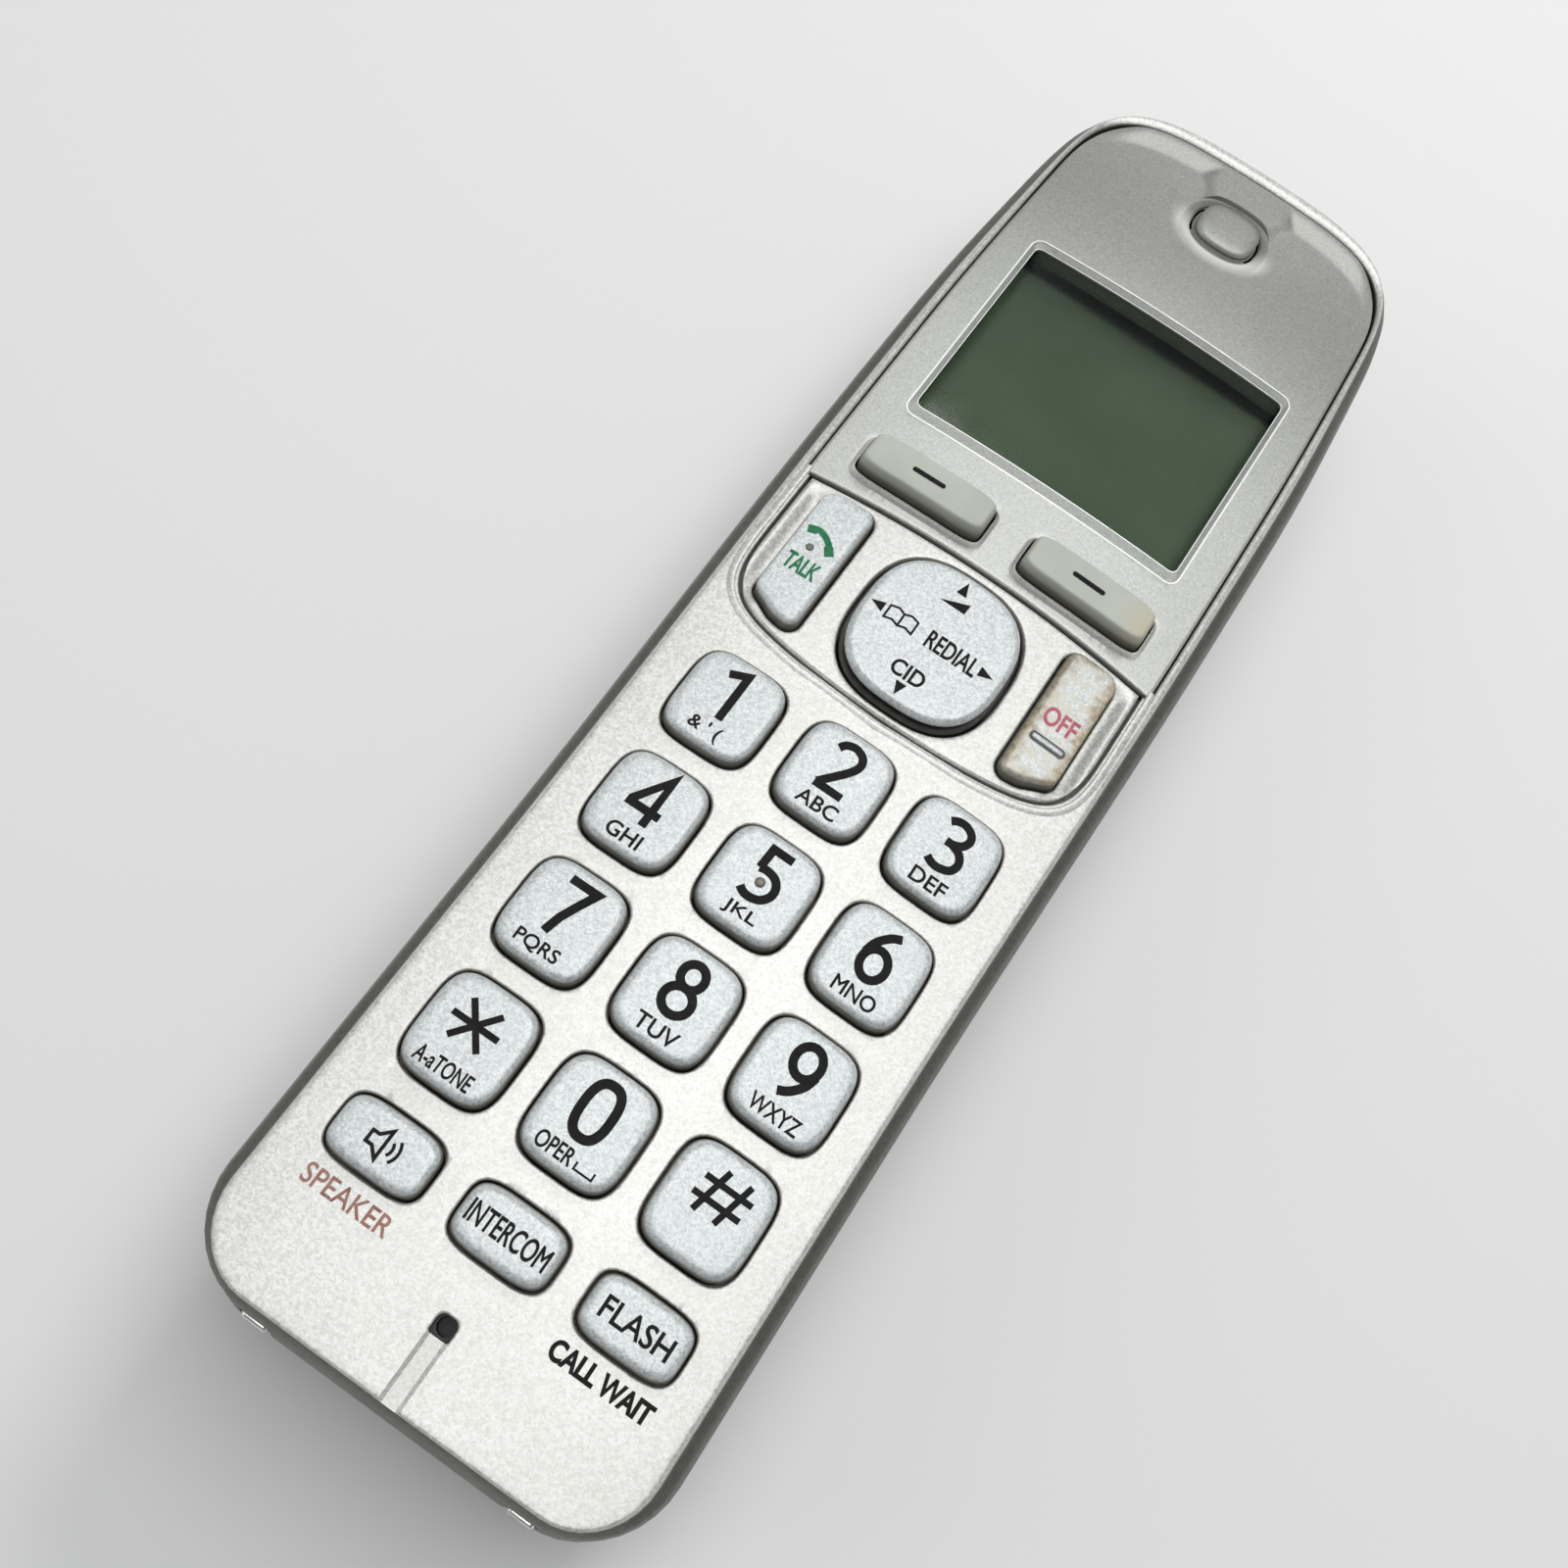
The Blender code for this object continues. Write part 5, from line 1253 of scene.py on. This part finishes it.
GLYPHS["9"] = [([(0.62 - x, 1.0 - y) for x, y in points], *how) for points, *how in GLYPHS["6"]]


def glyph(name, centre, height, stroke, wide=1.0):
    strokes = GLYPHS[name]
    mx, my = (spread([point[axis] for points, _, _ in strokes for point in points])[0] for axis in (0, 1))
    if name.isdigit():
        my = 0.5
    parts = []
    for points, is_smooth, closed in strokes:
        placed = [(centre[0] + (x - mx) * height * wide, centre[1] + (y - my) * height) for x, y in points]
        if is_smooth:
            placed = curve_through(placed)
        parts.append(ribbon(placed, stroke, closed))
    return joined(parts)


# Under a key's figure: the letters, how wide they are and how far they stand beside the middle.
LETTERS = {"key_1": ("& ' (", 3.6, -0.27), "key_2": ("ABC", 4.5, 0.0), "key_3": ("DEF", 4.0, 0.0),
           "key_4": ("GHI", 3.76, -0.18), "key_5": ("JKL", 3.6, 0.0), "key_6": ("MNO", 4.7, 0.0),
           "key_7": ("PQRS", 4.76, -0.27), "key_8": ("TUV", 4.5, 0.0), "key_9": ("WXYZ", 5.4, 0.0),
           "key_0": ("OPER", 3.94, -1.24), "key_star": ("A-aTONE", 6.0, -0.24)}


def key_top(x, y):
    return face_z(x) + KEY_PROUD


def word(name, text, centre, width, height, bold, body, finish="ink_black", surface=key_top):
    sit(text_flat(text, centre, width, height, bold), body, name, surface, M[finish])


def make_legends():
    black = M["ink_black"]
    places = {name: centre for name, centre, _ in key_places()}
    for name in [name for row in DIAL_KEYS for name in row]:
        body, figure, (x, y) = name + "_body", name[4:], places[name]
        if name == "key_star":
            mark = glyph(figure, (x - 0.24, y + 1.07), 4.55, 0.64)
        elif name == "key_hash":
            mark = glyph(figure, (x + 0.27, y + 1.33), 5.05, 0.6, 1.28)
        else:
            shift = -0.66 if name == "key_1" else 0.0
            mark = glyph(figure, (x + shift, y + 1.05), 5.92, 0.92 if name == "key_0" else 0.88, 1.06)
        sit(mark, body, name + "_figure", key_top, black)
        if name in LETTERS:
            text, width, shift = LETTERS[name]
            height = 1.95 if name == "key_1" else 1.65
            word(name + "_letters", text, (x + shift, y - 3.5), width, height, 0.035, body)
    x, y = places["key_0"]
    space = ribbon([(x + 1.15, y - 3.4), (x + 1.15, y - 4.1), (x + 3.05, y - 4.1), (x + 3.05, y - 3.4)], 0.2)
    sit(space, "key_0_body", "key_0_space", key_top, black)
    x, y = places["key_5"]
    nub = [[(u, v, key_top(u, v) + rise) for u, v in circle((x - 0.09, y + 0.16), radius, 24)]
           for radius, rise in ((0.55, -0.1), (0.52, 0.06), (0.42, 0.15), (0.26, 0.21), (0.08, 0.23))]
    new_piece("key_5_nub", lofts(nub), M["rear_grey"], "key_5_body", (), 50.0)
    x, y = places["intercom_key"]
    word("intercom_word", "INTERCOM", (x - 0.06, y), 8.35, 2.1, 0.045, "intercom_key_body")
    x, y = places["flash_key"]
    word("flash_word", "FLASH", (x + 0.03, y), 7.2, 2.1, 0.05, "flash_key_body")
    make_speaker_mark(places["speaker_key"])
    word("speaker_label", "SPEAKER", (-13.3, -72.94), 9.2, 1.9, 0.03, HANDSET, "ink_brown", face_z)
    word("call_wait_label", "CALL WAIT", (13.56, -72.8), 10.5, 1.95, 0.10, HANDSET, "ink_black", face_z)
    for name, x in (("soft_key_left", -10.55), ("soft_key_right", 9.92)):
        dash = polygon(soft_rectangle(x - 2.05, x + 2.05, 19.36, 19.96, 0.28, 5))
        sit(dash, name + "_body", name + "_dash", lambda x, y: face_z(x) + SOFT_PROUD, black)
    make_call_legends()
    make_nav_legends()


def make_speaker_mark(centre):
    x, y = centre
    half = [(0.1, 1.42), (-0.8, 0.55), (-1.5, 0.55)]
    cone = ribbon([(x + u, y - v) for u, v in half] + [(x + u, y + v) for u, v in half[::-1]], 0.34, True)
    turns = [math.radians(-40 + 80 * k / 10) for k in range(11)]
    waves = [ribbon([(x + r * math.cos(t), y + r * math.sin(t)) for t in turns], 0.3) for r in (0.95, 1.6)]
    for name, part in (("speaker_cone", cone), ("speaker_wave_1", waves[0]), ("speaker_wave_2", waves[1])):
        sit(part, "speaker_key_body", name, key_top, M["ink_black"])


def make_pad(name, outline, centre_z, steps, finish, body):
    """A low pad on a key's top, from steps of (how much its outline grows, how far it rises)."""
    pad = lofts([under_face(offset(outline, by), -rise - centre_z, key_top) for by, rise in steps])
    new_piece(name, pad, M[finish], body, (), 50.0)


def make_call_legends():
    talk, off = "talk_key_body", "off_key_body"
    word("talk_word", "TALK", (-15.78, 2.6), 3.9, 2.16, 0.06, talk, "ink_green")
    arc = curve_through([(-17.5, 7.05), (-16.6, 7.32), (-15.65, 7.02), (-14.85, 6.4), (-14.25, 5.5)])
    parts = [ribbon(points, width) for points, width in (
        (arc, 0.72), ([(-17.72, 6.84), (-16.72, 7.2)], 0.98), ([(-14.72, 6.18), (-14.02, 5.2)], 1.0))]
    sit(joined(parts), talk, "talk_icon", key_top, M["ink_green"])
    make_pad("talk_dot", circle((-16.3, 5.0), 0.46, 24), -0.04,
             ((0.0, -0.2), (0.0, 0.04), (-0.06, 0.12), (-0.2, 0.19), (-0.38, 0.22)), "rear_grey", talk)
    word("off_word", "OFF", (15.55, 4.27), 3.93, 2.3, 0.06, off, "ink_red")
    # Painted shadow: a dark sheet just outside the raised bar on the OFF key.
    edge = polygon(soft_rectangle(13.44, 17.76, 0.73, 1.85, 0.5, 6))
    sit(edge, off, "off_bar_shadow", key_top, M["carrier_plastic"])
    make_pad("off_bar", soft_rectangle(13.72, 17.48, 1.0, 1.58, 0.28, 6), 0.0,
             ((0.0, -0.2), (0.0, 0.1), (-0.05, 0.17), (-0.15, 0.22), (-0.3, 0.24)), "key_silver", off)


def nav_top(x, y):
    away = math.hypot(x / NAV_CAP[0], (y - NAV_Y) / NAV_CAP[1])
    return key_top(0.0, y) - 0.035 * away ** 2


def make_nav_legends():
    black, body = M["ink_black"], "nav_key_body"
    for name, points in (("up", [(-1.03, 10.0), (0.16, 10.0), (-0.44, 11.73)]),
                         ("down", [(-0.81, -2.47), (-0.19, -4.04), (0.43, -2.47)]),
                         ("left", [(-7.78, 3.69), (-6.24, 3.03), (-6.24, 4.26)]),
                         ("right", [(7.27, 3.69), (5.64, 4.3), (5.64, 3.07)]),
                         ("volume", [(-2.04, 8.23), (1.0, 8.23), (1.05, 9.53)])):
        sit(polygon(points), body, "nav_mark_" + name, nav_top, black)
    word("redial_word", "REDIAL", (2.33, 3.6), 6.1, 2.2, 0.05, body, surface=nav_top)
    word("cid_word", "CID", (-0.21, -1.12), 3.84, 1.94, 0.05, body, surface=nav_top)
    bx, by = -4.03, 3.5
    page = [(bx, by - 0.75), (bx - 0.8, by - 0.5), (bx - 1.7, by - 0.75), (bx - 1.7, by + 0.85),
            (bx - 0.8, by + 1.1), (bx, by + 0.8)]
    book = joined([ribbon(half, 0.24, True) for half in (page, [(2 * bx - x, y) for x, y in page])])
    sit(book, body, "book_mark", nav_top, black)


# ---------------------------------------------------------------- finishes of the CAD nodes that stay
def dress_nodes():
    for finish, names in (
            ("lcd", ["lcd_glass"]),
            ("board", ["main_board"]),
            ("white_plastic", ["lcd_backlight", "dome_sheet"]),
            ("black_plastic", ["lcd_frame", "earpiece_receiver", "microphone", "microphone_boot"]),
            ("rubber", ["keypad_membrane", "receiver_gasket"]),
            ("tin", ["rf_shield", "antenna", "battery_plate_1", "battery_plate_2"]),
            ("steel", ["loudspeaker"])):
        for name in names:
            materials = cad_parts[name].data.materials
            materials.clear()
            materials.append(M[finish])


# ---------------------------------------------------------------- studio
def make_floor():
    bm = bmesh.new()
    bmesh.ops.create_grid(bm, x_segments=2, y_segments=2, size=2.2)
    floor = stand(bm, "floor")
    floor.location.z = -0.2 * MM
    made = bpy.data.materials.new("floor")
    made.use_nodes = True
    shader = made.node_tree.nodes["Principled BSDF"]
    shader.inputs["Base Color"].default_value = (0.62, 0.62, 0.61, 1)
    shader.inputs["Roughness"].default_value = 0.9
    floor.data.materials.append(made)


def make_lights():
    """Soft lights and a pale sky, in metres and watts; only the key light leaves no highlight."""
    for name, place, aim, size, power in (
            ("overhead", (0.03, 0.12, 0.78), (0, 0.0, 0), 0.74, 5.1),
            ("key", (0.05, 0.62, 0.52), (0, 0.02, 0), 0.30, 3.2),
            ("side", (-0.60, -0.25, 0.40), (0, 0, 0), 0.5, 0.8)):
        light = bpy.data.lights.new(name, "AREA")
        light.size = size
        light.energy = power
        obj = bpy.data.objects.new(name, light)
        obj.location = place
        obj.visible_glossy = name != "key"
        obj.rotation_euler = (Vector(aim) - Vector(place)).to_track_quat("-Z", "Y").to_euler()
        bpy.context.scene.collection.objects.link(obj)
    world = bpy.data.worlds.new("studio")
    world.use_nodes = True
    background = world.node_tree.nodes["Background"]
    background.inputs["Color"].default_value = (0.9, 0.95, 1.0, 1)
    background.inputs["Strength"].default_value = 0.24
    bpy.context.scene.world = world
    bpy.context.scene.view_settings.view_transform = "Standard"


def make_camera():
    """The view down on the face, from 139 mm above it, with a lens as long as 0.9705 sensor widths."""
    data = bpy.data.cameras.new("camera")
    data.sensor_width = 36.0
    data.lens = 0.9705 * data.sensor_width
    data.clip_start, data.clip_end = 0.01, 20.0
    camera = bpy.data.objects.new("camera", data)
    turn = Matrix(((0.8223, -0.5646, 0.0713), (0.5476, 0.7509, -0.3693), (0.155, 0.3426, 0.9266)))
    place = Vector((6.82825, -73.86925, FACE_Z + 139.38225)) * MM
    camera.matrix_world = Matrix.Translation(place) @ turn.to_4x4()
    bpy.context.scene.collection.objects.link(camera)
    bpy.context.scene.camera = camera


make_camera()
make_floor()
make_lights()
make_front_shell()
make_nav_bead()
make_display_panel()
make_painted_window_highlights()
make_ear_island()
make_nav_panel()
make_rear_shell()
make_battery_door()
make_keys()
make_nav_key()
make_display()
make_cells()
make_charge_contacts()
make_screws()
make_legends()
dress_nodes()
